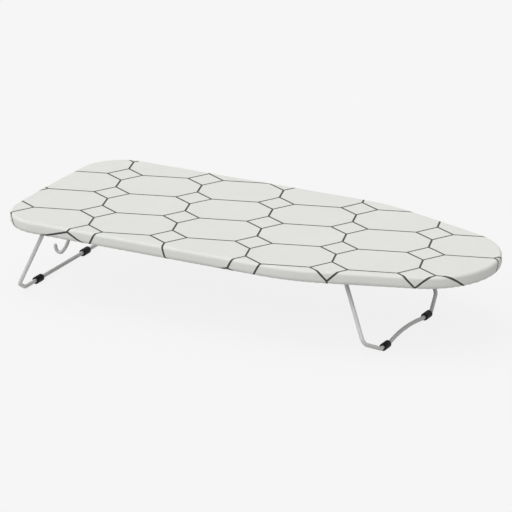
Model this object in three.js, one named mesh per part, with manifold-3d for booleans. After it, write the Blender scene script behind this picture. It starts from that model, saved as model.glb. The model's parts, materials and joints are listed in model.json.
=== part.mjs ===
// Tabletop ironing board: a padded steel deck in a stretched cloth cover, on two folding wire legs,
// with a hanging hook that swings on the tail leg's axle.
// Millimetres, +Z up. The table is z = 0, the nose points along +X and the board is centred on the origin.
import * as THREE from 'three';
import { mergeVertices } from 'three/addons/utils/BufferGeometryUtils.js';
import Module from 'manifold-3d';

// Board outline
const boardLength = 730;
const boardWidth = 320;
const boardHeight = 131;
const tailEdgeRadius = 2000;
const tailCornerRadius = 65;
const shoulderRadius = 300;
const noseLength = 243;
const noseRadius = 109.5;

// Cover, pad and deck
const clothThickness = 0.8;
const edgeRounding = 4.5;
const hemRun = 9;
const hemWrap = THREE.MathUtils.degToRad(300);
const elasticDiameter = 2.5;
const padThickness = 4;
const deckThickness = 1;
const deckOverhang = 3;
const deckMargin = 22;
const openingLength = 54;
const openingWidth = 30;
const deckStrand = 6;

// Rim tube and the two rails that carry the legs
const rimDiameter = 11;
const rimWall = 0.8;
const spliceLength = 50;
const jointGap = 0.5;
const railWidth = 28;
const railDepth = 6;
const railSheet = 1.5;
const tailAxleSetback = 74.4;
const noseAxleSetback = 190.7;
const tabWidth = 16;
const tabReach = 13;

// Axle saddles and their rivets
const saddleSheet = 1.2;
const saddleLength = 16;
const saddleLip = 1;
const tailSaddleSpread = 170;
const noseSaddleSpread = 120;
const rivetDiameter = 3;
const rivetHeadDiameter = 5.2;
const rivetHeadHeight = 1.5;
const rivetTailHeight = 0.9;

// Legs
const legWireDiameter = 6;
const legTilt = THREE.MathUtils.degToRad(26.5);
const bendRadius = 12;
const axleSeamOffset = 40;
const tailArmGap = 6;
const tailBendRise = 16;
const tailFootSpread = 136;
const tailBarOverhang = 29;
const noseAxleSpread = 190;
const noseBendSpread = 239;
const noseBendRise = 20.5;
const noseFootSpread = 135.5;
const noseBarOverhang = 5;
const noseArchRise = 4;
const footDiameter = 11;
const footLength = 18;
const footChamfer = 1;

// Hanging hook
const hookWireDiameter = 5.5;
const hookLean = THREE.MathUtils.degToRad(33);
const hookEyeClearance = 0.6;
const hookEyeWrap = THREE.MathUtils.degToRad(281);
const hookNeckRadius = 5;
const hookSwayRadius = 53;
const hookSwayBack = THREE.MathUtils.degToRad(14.8);
const hookSwayOut = THREE.MathUtils.degToRad(23);
const hookBendRadius = 6.5;
const hookBend = THREE.MathUtils.degToRad(127);
const hookTipLength = 4.75;
const hookBarGap = 8.5;
const hookSlotGap = 1.2;

// Gaps: between pieces that rest on or wrap round each other, and under riveted faces
const clearance = 0.3;
const seatGap = 0.1;

// Facets
const tailSteps = 3;
const cornerSteps = 7;
const sideSteps = 2;
const shoulderSteps = 4;
const noseSteps = 12;
const edgeSteps = 3;
const hemSteps = 5;
const bendSteps = 5;
const archSteps = 8;
const rimSides = 10;
const rimBoreSides = 8;
const elasticSides = 6;
const wireSides = 10;
const hookSides = 8;
const hookEyeSteps = 13;
const hookSwaySteps = 3;
const hookBendSteps = 7;
const roundSides = 16;
const rivetSides = 10;
const saddleSteps = 6;
const weldTolerance = 1e-4;

// Heights, from the ironing face down to the axles
const padTop = boardHeight - clothThickness - clearance;
const padBottom = padTop - padThickness;
const deckTop = padBottom - clearance;
const deckBottom = deckTop - deckThickness;
const rimRadius = rimDiameter / 2;
const rimZ = deckBottom - clearance - rimRadius;
const railTop = deckBottom - clearance;
const railBottom = railTop - railDepth;
const legRadius = legWireDiameter / 2;
const axleZ = railBottom - clearance - legRadius;

// Insets from the board's edge
const rimInset = clothThickness + clearance + rimRadius;
const rimInnerInset = rimInset + rimRadius + clearance;
const hemBore = (elasticDiameter / 2 + clearance) / Math.cos(hemWrap / hemSteps / 2);
const hemRadius = hemBore + clothThickness;
const hemInset = rimInset + hemRun;
const hemZ = rimZ - rimInset + hemRadius;
const hemInnerInset = hemInset + hemRadius;

// Places and lengths that follow from the board and the wire
const tailAxleX = -boardLength / 2 + tailAxleSetback;
const noseAxleX = boardLength / 2 - noseAxleSetback;
const legLength = (axleZ - footDiameter / 2) / Math.cos(legTilt);
const tailArmY = boardWidth / 2 - hemInnerInset - tailArmGap - legRadius;
const hookRadius = hookWireDiameter / 2;
const hookEyeRadius = legRadius + hookEyeClearance + hookRadius;
const hookReach = legLength - legRadius - hookBarGap - hookRadius - hookBendRadius;
const hookTurn = hookSwayOut - hookSwayBack;
const hookTighten = hookSwayRadius - hookBendRadius;
const hookSide = hookSwayRadius * (1 - 2 * Math.cos(hookSwayBack)) + hookTighten * Math.cos(hookTurn);
const hookDrop = 2 * hookSwayRadius * Math.sin(hookSwayBack) + hookTighten * Math.sin(hookTurn);
const hookShank = Math.sqrt(hookReach ** 2 - hookSide ** 2) - hookDrop;

// Finishes
const clothFinish = new THREE.MeshStandardMaterial({ color: 0xdeded9, roughness: 0.9, metalness: 0 });
const foamFinish = new THREE.MeshStandardMaterial({ color: 0xd8d3c4, roughness: 0.95, metalness: 0 });
const elasticFinish = new THREE.MeshStandardMaterial({ color: 0xecebe6, roughness: 0.8, metalness: 0 });
const wireFinish = new THREE.MeshStandardMaterial({ color: 0xc4c5c2, roughness: 0.38, metalness: 0.6 });
const sheetFinish = new THREE.MeshStandardMaterial({ color: 0xb8b9b7, roughness: 0.45, metalness: 0.6 });
const rivetFinish = new THREE.MeshStandardMaterial({ color: 0xa9aaab, roughness: 0.3, metalness: 0.9 });
const footFinish = new THREE.MeshStandardMaterial({ color: 0x18181a, roughness: 0.7, metalness: 0 });

const wasm = await Module();
wasm.setup();

// A closed geometry as a solid that can be joined and cut
function toSolid(geometry) {
  const bare = geometry.clone();
  bare.deleteAttribute('normal');
  bare.deleteAttribute('uv');
  const welded = mergeVertices(bare, weldTolerance);
  const vertProperties = new Float32Array(welded.attributes.position.array);
  const triVerts = new Uint32Array(welded.index.array);
  return new wasm.Manifold(new wasm.Mesh({ numProp: 3, vertProperties, triVerts }));
}

function toGeometry(solid) {
  const { vertProperties, triVerts } = solid.getMesh();
  return indexedGeometry(vertProperties, triVerts);
}

function indexedGeometry(positions, faces) {
  const geometry = new THREE.BufferGeometry();
  geometry.setAttribute('position', new THREE.Float32BufferAttribute(positions, 3));
  geometry.setIndex(Array.from(faces));
  geometry.computeVertexNormals();
  return geometry;
}

function part(name, geometry, material) {
  const mesh = new THREE.Mesh(geometry, material);
  mesh.name = name;
  return mesh;
}

// Points on an arc, its two ends included, as pairs
function arcPoints(x, y, radius, from, to, steps) {
  const points = [];
  for (let step = 0; step <= steps; step++) {
    const angle = from + ((to - from) * step) / steps;
    points.push([x + radius * Math.cos(angle), y + radius * Math.sin(angle)]);
  }
  return points;
}

// The board's edge seen from above, anticlockwise from the middle of the tail, with outward normals:
// a shallow tail arc, a corner arc, a straight side, a shoulder arc, a straight taper and a nose arc,
// then the mirror image.
function edgeSamples() {
  const near = [];
  const halfWidth = boardWidth / 2;
  const cornerY = halfWidth - tailCornerRadius;
  const tailCentreX = tailEdgeRadius - boardLength / 2;
  const arcGap = tailEdgeRadius - tailCornerRadius;
  const cornerX = tailCentreX - Math.sqrt(arcGap ** 2 - cornerY ** 2);
  const cornerStart = Math.asin(cornerY / arcGap);
  const taperStartX = boardLength / 2 - noseLength;
  const noseCentreX = boardLength / 2 - noseRadius;
  const taperRun = noseCentreX - taperStartX;
  const taper = Math.atan2(halfWidth, taperRun) - Math.asin(noseRadius / Math.hypot(taperRun, halfWidth));
  const shoulderX = taperStartX - shoulderRadius * Math.tan(taper / 2);
  const sideward = Math.PI / 2;

  const addArc = (x, y, radius, from, to, steps) => {
    for (let step = 0; step <= steps; step++) {
      const angle = Math.PI + from + ((to - from) * step) / steps;
      const normal = new THREE.Vector2(Math.cos(angle), Math.sin(angle));
      const point = new THREE.Vector2(x, y).addScaledVector(normal, radius);
      near.push({ point, normal });
    }
  };
  addArc(tailCentreX, 0, tailEdgeRadius, 0, cornerStart, tailSteps);
  // The corner's arc starts where the tail's arc ends
  near.pop();
  addArc(cornerX, -cornerY, tailCornerRadius, cornerStart, sideward, cornerSteps);
  for (let step = 1; step < sideSteps; step++) {
    const x = THREE.MathUtils.lerp(cornerX, shoulderX, step / sideSteps);
    near.push({ point: new THREE.Vector2(x, -halfWidth), normal: new THREE.Vector2(0, -1) });
  }
  addArc(shoulderX, shoulderRadius - halfWidth, shoulderRadius, sideward, sideward + taper, shoulderSteps);
  addArc(noseCentreX, 0, noseRadius, sideward + taper, Math.PI, noseSteps);

  const mirror = ({ point, normal }) => ({
    point: new THREE.Vector2(point.x, -point.y),
    normal: new THREE.Vector2(normal.x, -normal.y),
  });
  const far = near.slice(1, -1).reverse().map(mirror);
  return [...near, ...far];
}

const edge = edgeSamples();

// The board's outline moved inwards by an inset
function outlineAt(inset) {
  return edge.map(({ point, normal }) => point.clone().addScaledVector(normal, -inset));
}

// A body of rings that follow the outline, given as [inset, height] from its top cap to its last cap
function ringBody(profile) {
  const positions = [];
  const faces = [];
  const count = edge.length;
  for (const [inset, z] of profile) {
    for (const { x, y } of outlineAt(inset)) {
      positions.push(x, y, z);
    }
  }
  for (let ring = 0; ring < profile.length - 1; ring++) {
    for (let step = 0; step < count; step++) {
      const here = ring * count + step;
      const next = ring * count + ((step + 1) % count);
      faces.push(here, here + count, next + count, here, next + count, next);
    }
  }
  const lastRing = (profile.length - 1) * count;
  for (const [a, b, c] of THREE.ShapeUtils.triangulateShape(outlineAt(profile[0][0]), [])) {
    faces.push(a, b, c);
  }
  for (const [a, b, c] of THREE.ShapeUtils.triangulateShape(outlineAt(profile.at(-1)[0]), [])) {
    faces.push(lastRing + a, lastRing + c, lastRing + b);
  }
  return indexedGeometry(positions, faces);
}

// A route that is stepped through at exactly its own points
class WireRoute extends THREE.Curve {
  constructor(points) {
    super();
    this.points = points;
  }

  getPoint(along, target = new THREE.Vector3()) {
    const last = this.points.length - 1;
    const index = Math.min(Math.floor(along * last + weldTolerance), last - 1);
    return target.lerpVectors(this.points[index], this.points[index + 1], along * last - index);
  }

  getPointAt(along, target) {
    return this.getPoint(along, target);
  }

  getTangentAt(along, target = new THREE.Vector3()) {
    const last = this.points.length - 1;
    const index = Math.round(along * last);
    const here = this.points[index];
    const before = this.points[Math.max(index - 1, 0)];
    const after = this.points[Math.min(index + 1, last)];
    const incoming = here.clone().sub(before).normalize();
    const outgoing = after.clone().sub(here).normalize();
    return target.addVectors(incoming, outgoing).normalize();
  }
}

function roundSection(radius, sides) {
  return arcPoints(0, 0, radius, 0, 2 * Math.PI, sides)
    .slice(0, sides)
    .map(([x, y]) => new THREE.Vector2(x, y));
}

// A round bar along a route, or a tube where it has a bore
function roundBar(points, radius, sides, bore = 0, boreSides = sides) {
  const section = new THREE.Shape(roundSection(radius, sides));
  if (bore > 0) {
    section.holes.push(new THREE.Path(roundSection(bore, boreSides)));
  }
  const extrudePath = new WireRoute(points);
  return new THREE.ExtrudeGeometry(section, { steps: points.length - 1, extrudePath });
}

// An open hoop along the outline, its two ends meeting at the middle of the tail
function tailJointedHoop(inset, z) {
  const [start, ...rest] = outlineAt(inset).map(({ x, y }) => new THREE.Vector3(x, y, z));
  const halfGap = new THREE.Vector3(0, jointGap / 2, 0);
  return [start.clone().sub(halfGap), ...rest, start.clone().add(halfGap)];
}

// A profile in X and Z carried across the board from one Y to another
function acrossBoard(profile, fromY, toY) {
  const shape = new THREE.Shape(profile.map(([x, z]) => new THREE.Vector2(x, z)));
  const geometry = new THREE.ExtrudeGeometry(shape, { depth: toY - fromY, bevelEnabled: false });
  return geometry.rotateX(Math.PI / 2).translate(0, toY, 0);
}

// Straight runs of wire in the leg's own plane, given as [y, z, bend radius] and bent at each corner
function bentRoute(corners) {
  const at = corners.map(([y, z]) => new THREE.Vector3(0, y, z));
  const points = [];
  corners.forEach(([, , bend], index) => {
    const corner = at[index];
    if (bend === 0) {
      points.push(corner);
      return;
    }
    const back = at[index - 1].clone().sub(corner).normalize();
    const onward = at[index + 1].clone().sub(corner).normalize();
    const halfAngle = back.angleTo(onward) / 2;
    const inward = back.clone().add(onward).normalize();
    const centre = corner.clone().addScaledVector(inward, bend / Math.sin(halfAngle));
    const start = corner.clone().addScaledVector(back, bend / Math.tan(halfAngle)).sub(centre);
    const end = corner.clone().addScaledVector(onward, bend / Math.tan(halfAngle)).sub(centre);
    const axis = start.clone().cross(end).normalize();
    const turn = start.angleTo(end);
    for (let step = 0; step <= bendSteps; step++) {
      points.push(start.clone().applyAxisAngle(axis, (turn * step) / bendSteps).add(centre));
    }
  });
  return points;
}

// Cover: ironing face, rounded edge, side, the wrap under the rim tube and a hem rolled round the elastic
function cover() {
  const topZ = boardHeight - edgeRounding;
  const innerRounding = edgeRounding - clothThickness;
  const innerWrap = rimInset - clothThickness;
  const hemStart = 1.5 * Math.PI;
  const hemEnd = hemStart + hemWrap;
  return ringBody([
    ...arcPoints(edgeRounding, topZ, edgeRounding, Math.PI / 2, Math.PI, edgeSteps),
    ...arcPoints(rimInset, rimZ, rimInset, Math.PI, 1.5 * Math.PI, edgeSteps),
    ...arcPoints(hemInset, hemZ, hemRadius, hemStart, hemEnd, hemSteps),
    ...arcPoints(hemInset, hemZ, hemBore, hemEnd, hemStart, hemSteps),
    ...arcPoints(rimInset, rimZ, innerWrap, 1.5 * Math.PI, Math.PI, edgeSteps),
    ...arcPoints(edgeRounding, topZ, innerRounding, Math.PI, Math.PI / 2, edgeSteps),
  ]);
}

// Pad: flat foam whose edge follows the cover's rounding
function foamPad() {
  const roundingZ = boardHeight - edgeRounding;
  const radius = padTop - roundingZ;
  const lowest = Math.PI - Math.asin((padBottom - roundingZ) / radius);
  return ringBody([
    ...arcPoints(edgeRounding, roundingZ, radius, Math.PI / 2, lowest, edgeSteps),
    [rimInset, padBottom],
  ]);
}

function isInside({ x, y }, polygon) {
  let inside = false;
  polygon.forEach((a, index) => {
    const b = polygon[(index + 1) % polygon.length];
    if (a.y > y !== b.y > y && x < a.x + ((b.x - a.x) * (y - a.y)) / (b.y - a.y)) {
      inside = !inside;
    }
  });
  return inside;
}

// Deck: sheet steel with staggered diamond openings inside a plain border
function meshDeck() {
  const sheet = new THREE.Shape(outlineAt(rimInset - deckOverhang));
  const border = outlineAt(deckMargin);
  const halfLength = openingLength / 2;
  const halfWidth = openingWidth / 2;
  const spread = 1 + (deckStrand * Math.hypot(1 / halfLength, 1 / halfWidth)) / 2;
  const columnPitch = openingLength * spread;
  const rowPitch = halfWidth * spread;
  const lastRow = Math.ceil(boardWidth / 2 / rowPitch);
  const lastColumn = Math.ceil(boardLength / 2 / columnPitch);
  for (let row = -lastRow; row <= lastRow; row++) {
    const stagger = row % 2 === 0 ? 0 : columnPitch / 2;
    for (let column = -lastColumn; column <= lastColumn; column++) {
      const x = column * columnPitch + stagger;
      const y = row * rowPitch;
      const diamond = [
        new THREE.Vector2(x - halfLength, y),
        new THREE.Vector2(x, y - halfWidth),
        new THREE.Vector2(x + halfLength, y),
        new THREE.Vector2(x, y + halfWidth),
      ];
      if (diamond.every((corner) => isInside(corner, border))) {
        sheet.holes.push(new THREE.Path(diamond));
      }
    }
  }
  const deck = new THREE.ExtrudeGeometry(sheet, { depth: deckThickness, bevelEnabled: false });
  return deck.translate(0, 0, deckBottom);
}

// Rim: a steel tube hoop under the deck's edge, with a plug inside its butt joint
function rimSplice() {
  const bore = (rimRadius - rimWall) * Math.cos(Math.PI / rimBoreSides);
  const plug = new THREE.CylinderGeometry(bore - clearance, bore - clearance, spliceLength, rimBoreSides);
  return plug.translate(-boardLength / 2 + rimInset, 0, rimZ);
}

// Upright cylinder that cuts a rivet hole
function rivetHole(x, y) {
  const radius = (rivetDiameter / 2 + seatGap) / Math.cos(Math.PI / rivetSides);
  const hole = new THREE.CylinderGeometry(radius, radius, boardHeight, rivetSides).rotateX(Math.PI / 2);
  return toSolid(hole.translate(x, y, boardHeight / 2));
}

const saddleOuter = legRadius + clearance + saddleSheet;
const flangeEnd = railWidth / 2 - saddleLip;
const rivetOffset = (saddleOuter + flangeEnd) / 2;

function rivetPlaces(axleX, spread) {
  const places = [];
  for (const side of [-1, 1]) {
    for (const end of [-1, 1]) {
      places.push({ side, end, x: axleX + end * rivetOffset, y: (side * spread) / 2 });
    }
  }
  return places;
}

// Rail: an upturned channel between the rim's sides, with two tabs bent down behind the leg to stop it
function rail({ axleX, outward, armY, saddleSpread, hasHookSlot }) {
  const half = railWidth / 2;
  const webTop = railBottom + railSheet;
  const channel = [
    [axleX - half, railTop],
    [axleX - half, railBottom],
    [axleX + half, railBottom],
    [axleX + half, railTop],
    [axleX + half - railSheet, railTop],
    [axleX + half - railSheet, webTop],
    [axleX - half + railSheet, webTop],
    [axleX - half + railSheet, railTop],
  ];
  let body = toSolid(acrossBoard(channel, -boardWidth / 2, boardWidth / 2));
  const between = new THREE.ExtrudeGeometry(new THREE.Shape(outlineAt(rimInnerInset)), {
    depth: boardHeight,
    bevelEnabled: false,
  });
  body = body.intersect(toSolid(between));

  // Each tab lies parallel to the standing leg and just behind its wire
  const tabPoint = (offset, along) => [
    axleX + outward * (offset * Math.cos(legTilt) + along * Math.sin(legTilt)),
    axleZ + offset * Math.sin(legTilt) - along * Math.cos(legTilt),
  ];
  const rootAt = (offset) => {
    const rise = railBottom + railSheet / 2 - axleZ - offset * Math.sin(legTilt);
    return -rise / Math.cos(legTilt);
  };
  const face = legRadius + clearance;
  const back = face + railSheet;
  const tab = [
    tabPoint(face, rootAt(face)),
    tabPoint(face, tabReach),
    tabPoint(back, tabReach),
    tabPoint(back, rootAt(back)),
  ];
  const facing = outward < 0 ? tab.reverse() : tab;
  const tabEnd = armY + legRadius;
  body = body.add(toSolid(acrossBoard(facing, -tabEnd, tabWidth - tabEnd)));
  body = body.add(toSolid(acrossBoard(facing, tabEnd - tabWidth, tabEnd)));

  for (const { x, y } of rivetPlaces(axleX, saddleSpread)) {
    body = body.subtract(rivetHole(x, y));
  }
  if (hasHookSlot) {
    const slotX = hookEyeRadius + hookRadius + hookSlotGap;
    const slotY = hookRadius + hookSlotGap;
    const slot = new THREE.BoxGeometry(2 * slotX, 2 * slotY, boardHeight);
    body = body.subtract(toSolid(slot.translate(axleX, 0, boardHeight / 2)));
  }
  return toGeometry(body);
}

// Saddle: a strap bent under the axle, with a riveted flange on each side
function saddle(axleX, centreY) {
  const inner = legRadius + clearance;
  const top = railBottom - seatGap;
  const underside = top - saddleSheet;
  const strap = [
    [axleX - flangeEnd, top],
    [axleX - flangeEnd, underside],
    [axleX - saddleOuter, underside],
    ...arcPoints(axleX, axleZ, saddleOuter, Math.PI, 2 * Math.PI, saddleSteps),
    [axleX + saddleOuter, underside],
    [axleX + flangeEnd, underside],
    [axleX + flangeEnd, top],
    [axleX + inner, top],
    ...arcPoints(axleX, axleZ, inner, 2 * Math.PI, Math.PI, saddleSteps),
    [axleX - inner, top],
  ];
  let body = toSolid(acrossBoard(strap, centreY - saddleLength / 2, centreY + saddleLength / 2));
  body = body.subtract(rivetHole(axleX - rivetOffset, centreY));
  body = body.subtract(rivetHole(axleX + rivetOffset, centreY));
  return toGeometry(body);
}

// Rivet: a domed head under the flange, a shank and a flattened tail on the rail's web
function rivet() {
  const headTop = railBottom - 2 * seatGap - saddleSheet;
  const tailSeat = railBottom + railSheet + seatGap;
  const headRadius = rivetHeadDiameter / 2;
  const shank = rivetDiameter / 2;
  const dome = [];
  for (const angle of [0, Math.PI / 6, Math.PI / 3, Math.PI / 2]) {
    dome.push([headRadius * Math.sin(angle), headTop - rivetHeadHeight * Math.cos(angle)]);
  }
  const profile = [
    ...dome,
    [shank, headTop],
    [shank, tailSeat],
    [headRadius - rivetTailHeight / 2, tailSeat],
    [headRadius - rivetTailHeight / 2, tailSeat + rivetTailHeight / 2],
    [shank, tailSeat + rivetTailHeight],
    [0, tailSeat + rivetTailHeight],
  ];
  const points = profile.map(([r, z]) => new THREE.Vector2(r, z));
  return new THREE.LatheGeometry(points, rivetSides).rotateX(Math.PI / 2);
}

// Foot: a sleeve on the leg's bar, with a flat facet on the table
function footSleeve() {
  const toCorner = 1 / Math.cos(Math.PI / roundSides);
  const outer = (footDiameter / 2) * toCorner;
  const bore = (legRadius + clearance) * toCorner;
  const half = footLength / 2;
  const profile = [
    [bore, -half],
    [outer - footChamfer, -half],
    [outer, footChamfer - half],
    [outer, half - footChamfer],
    [outer - footChamfer, half],
    [bore, half],
    [bore, -half],
  ];
  const points = profile.map(([r, y]) => new THREE.Vector2(r, y));
  return new THREE.LatheGeometry(points, roundSides, Math.PI / roundSides);
}

// Leg: one wire loop of axle, two arms, sloping shoulders and a foot bar, with a sleeve near each bar end
function leg({ name, axleX, outward, axleY, bendY, bendRise, footY, overhang, archRise }) {
  const shoulderY = footY + footLength / 2 + overhang;
  const bendZ = bendRise - legLength;
  const corners = [
    [axleSeamOffset + jointGap / 2, 0, 0],
    [axleY, 0, bendRadius],
    [bendY, bendZ, bendRadius],
    [shoulderY, -legLength, bendRadius],
  ];
  if (archRise > 0) {
    const archEnd = footY - footLength / 2 - overhang;
    const archRadius = (archEnd ** 2 + archRise ** 2) / (2 * archRise);
    const archTurn = Math.asin(archEnd / archRadius);
    const archZ = archRise - archRadius - legLength;
    const from = Math.PI / 2 - archTurn;
    for (const [y, z] of arcPoints(0, archZ, archRadius, from, Math.PI - from, archSteps)) {
      corners.push([y, z, 0]);
    }
  }
  corners.push(
    [-shoulderY, -legLength, bendRadius],
    [-bendY, bendZ, bendRadius],
    [-axleY, 0, bendRadius],
    [axleSeamOffset - jointGap / 2, 0, 0],
  );

  const group = new THREE.Group();
  group.position.set(axleX, 0, axleZ);
  group.rotation.y = -outward * legTilt;
  group.add(part(`${name}_leg`, roundBar(bentRoute(corners), legRadius, wireSides), wireFinish));
  for (const [side, sign] of [['near', -1], ['far', 1]]) {
    const foot = part(`${name}_foot_${side}`, footSleeve(), footFinish);
    foot.position.set(0, sign * footY, -legLength);
    foot.rotation.y = outward * legTilt;
    group.add(foot);
  }
  return group;
}

// Hook: an eye round the tail axle, a neck, a shank that sways back and out again, a bend and a short tip
function hook() {
  const neckZ = -Math.sqrt((hookEyeRadius + hookNeckRadius) ** 2 - hookNeckRadius ** 2);
  const eyeExit = Math.atan2(neckZ, hookNeckRadius);
  const route = [
    ...arcPoints(0, 0, hookEyeRadius, eyeExit + hookEyeWrap, eyeExit, hookEyeSteps),
    ...arcPoints(hookNeckRadius, neckZ, hookNeckRadius, eyeExit + Math.PI, Math.PI, edgeSteps).slice(1),
    [0, -hookShank],
  ];

  // Each arc goes on from the end of the route, towards -X for a positive turn
  let heading = 0;
  const addTurn = (turn, radius, steps) => {
    const [x, z] = route.at(-1);
    const from = (turn > 0 ? 0 : Math.PI) - heading;
    const centreX = x - radius * Math.cos(from);
    const centreZ = z - radius * Math.sin(from);
    route.push(...arcPoints(centreX, centreZ, radius, from, from - turn, steps).slice(1));
    heading += turn;
  };
  addTurn(-hookSwayBack, hookSwayRadius, hookSwaySteps);
  addTurn(hookSwayOut, hookSwayRadius, hookSwaySteps);
  addTurn(hookBend, hookBendRadius, hookBendSteps);
  const [bendEndX, bendEndZ] = route.at(-1);
  route.push([bendEndX - hookTipLength * Math.sin(heading), bendEndZ - hookTipLength * Math.cos(heading)]);

  const points = route.map(([x, z]) => new THREE.Vector3(x, 0, z));
  const mesh = part('hook', roundBar(points, hookRadius, hookSides), wireFinish);
  mesh.position.set(tailAxleX, 0, axleZ);
  mesh.rotation.y = hookLean;
  return mesh;
}

const tailEnd = {
  name: 'tail',
  outward: -1,
  axleX: tailAxleX,
  axleY: tailArmY,
  bendY: tailArmY,
  bendRise: tailBendRise,
  footY: tailFootSpread / 2,
  overhang: tailBarOverhang,
  archRise: 0,
  armY: tailArmY,
  saddleSpread: tailSaddleSpread,
  hasHookSlot: true,
};
const noseEnd = {
  name: 'nose',
  outward: 1,
  axleX: noseAxleX,
  axleY: noseAxleSpread / 2,
  bendY: noseBendSpread / 2,
  bendRise: noseBendRise,
  footY: noseFootSpread / 2,
  overhang: noseBarOverhang,
  archRise: noseArchRise,
  armY: noseAxleSpread / 2,
  saddleSpread: noseSaddleSpread,
  hasHookSlot: false,
};

const board = new THREE.Group();
const rimRoute = tailJointedHoop(rimInset, rimZ);
const rimTube = roundBar(rimRoute, rimRadius, rimSides, rimRadius - rimWall, rimBoreSides);
const hemElastic = roundBar(tailJointedHoop(hemInset, hemZ), elasticDiameter / 2, elasticSides);
board.add(
  part('cover', cover(), clothFinish),
  part('hem_elastic', hemElastic, elasticFinish),
  part('foam_pad', foamPad(), foamFinish),
  part('mesh_deck', meshDeck(), sheetFinish),
  part('rim_tube', rimTube, sheetFinish),
  part('rim_splice', rimSplice(), sheetFinish),
);
for (const end of [tailEnd, noseEnd]) {
  board.add(part(`${end.name}_rail`, rail(end), sheetFinish));
  board.add(leg(end));
  for (const [side, sign] of [['near', -1], ['far', 1]]) {
    const strap = saddle(end.axleX, (sign * end.saddleSpread) / 2);
    board.add(part(`${end.name}_saddle_${side}`, strap, sheetFinish));
  }
  for (const place of rivetPlaces(end.axleX, end.saddleSpread)) {
    const side = place.side < 0 ? 'near' : 'far';
    const row = place.end * end.outward > 0 ? 'outer' : 'inner';
    const fixing = part(`${end.name}_rivet_${side}_${row}`, rivet(), rivetFinish);
    fixing.position.set(place.x, place.y, 0);
    board.add(fixing);
  }
}
board.add(hook());

export default board;
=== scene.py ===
"""Tabletop ironing board: printed cotton cover, foam, expanded steel deck, wire legs and hook, in a studio.

Lengths are metres. The table is z = 0, the nose points along +X and the board is centred on the origin.
"""
import json
import math
from itertools import product

import bmesh
import bpy
import numpy as np
from bpy.props import FloatProperty, FloatVectorProperty, PointerProperty
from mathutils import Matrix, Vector


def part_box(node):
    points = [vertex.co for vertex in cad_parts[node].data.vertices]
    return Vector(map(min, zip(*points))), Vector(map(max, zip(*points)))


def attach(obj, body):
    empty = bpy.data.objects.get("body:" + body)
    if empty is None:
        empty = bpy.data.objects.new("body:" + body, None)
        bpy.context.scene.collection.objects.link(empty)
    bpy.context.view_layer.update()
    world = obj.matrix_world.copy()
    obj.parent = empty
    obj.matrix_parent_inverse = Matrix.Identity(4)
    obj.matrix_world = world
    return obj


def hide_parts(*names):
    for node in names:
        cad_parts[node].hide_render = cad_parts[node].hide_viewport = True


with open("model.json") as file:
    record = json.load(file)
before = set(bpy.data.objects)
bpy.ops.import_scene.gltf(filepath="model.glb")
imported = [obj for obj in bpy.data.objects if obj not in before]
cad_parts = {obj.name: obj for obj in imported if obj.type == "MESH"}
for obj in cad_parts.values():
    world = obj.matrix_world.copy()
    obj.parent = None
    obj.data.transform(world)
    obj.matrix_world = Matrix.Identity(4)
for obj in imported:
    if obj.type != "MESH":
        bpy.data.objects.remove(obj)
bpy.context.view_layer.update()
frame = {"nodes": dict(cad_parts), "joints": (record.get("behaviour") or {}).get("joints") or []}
cover_low, cover_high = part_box("cover")
deck_low, deck_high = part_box("mesh_deck")
pad_low, pad_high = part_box("foam_pad")
rail_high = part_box("nose_rail")[1]
pivots = {joint["child"]: Vector(joint["pos_m"]) for joint in frame["joints"]}

bl_info = {
    "name": "Tabletop Ironing Board",
    "version": (1, 0, 0),
    "blender": (4, 5, 0),
    "location": "3D View > Sidebar > Ironing Board",
    "description": "Builds a tabletop ironing board round its packed frame, with a plain studio",
    "category": "Add Mesh",
}

MM = 0.001
WELD_DISTANCE = 1e-6
SAME_POINT = 1e-9
SHARP_ANGLE = math.radians(38)
UP = np.array([0.0, 0.0, 1.0])
ACROSS = np.array([0.0, 1.0, 0.0])
ENDS = ("tail", "nose")
SIDES = {"near": -1.0, "far": 1.0}

# How finely the surfaces are stepped
OUTLINE_FINE = 400
COVER_COLUMNS = 1100
HOOP_COLUMNS = 560
ROUNDING_STEPS = 8
WRAP_STEPS = 8
RUN_STEPS = 5
ROLL_STEPS = 14
GATHER_SMOOTHING = 30
STITCH_STEPS = 5
STITCH_SIDES = 6
WIRE_STEP = 1.1 * MM
HOOK_STEP = 0.7 * WIRE_STEP
WIRE_SIDES = 20
BEND_STEPS = 24
PAD_STEPS = 7
WELD_STEPS = 44
STRAP_STEPS = 24
STRAP_FILLET_STEPS = 5
FOOT_FILLET_STEPS = 6
RIVET_STEPS = 9
DOME_STEPS = 6
LATHE_SIDES = 40

# The cover's last row before its hem rolls up, counted from the free end
HEM_ROW = -ROLL_STEPS - 2

# Rows of the flat faces, as shares of the way from the board's middle line to their border
FACE_PARTS = (0.0, 0.18, 0.36, 0.53, 0.68, 0.8, 0.89, 0.95, 0.985)
PAD_PARTS = (0.0, 0.3, 0.6, 0.85)

# How far the middle line stays from the tail and the nose, as shares of the board's width
MIDDLE_FROM_TAIL = 0.35
MIDDLE_FROM_NOSE = 0.45

# Small forms of the pieces
HEM_ROLL = math.radians(300)
FACE_DIP = 0.2 * MM
FACE_RIPPLE = 0.16 * MM
DECK_BREAK = 0.25 * MM
STRAP_FILLET = 1.2 * MM
STRAP_BREAK = 0.2 * MM
WELD_REACH = 11 * MM
FOOT_FILLET = 1.1 * MM
FOOT_PLAY = 0.05 * MM
BORE_BREAK = 0.5 * MM
BORE_BREAK_DEPTH = 0.9 * MM
RIVET_TAIL = 0.9 * MM
RIVET_CROWN = 0.35 * MM
LEVEL_WITHIN = 0.1 * MM

# A rivet's shank and the base, edge and face of its flattened tail, as shares of the head's radius
SHANK_PART = 0.58
TAIL_BASE_PART = 0.82
TAIL_EDGE_PART = 0.8
TAIL_FACE_PART = 0.55

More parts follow.
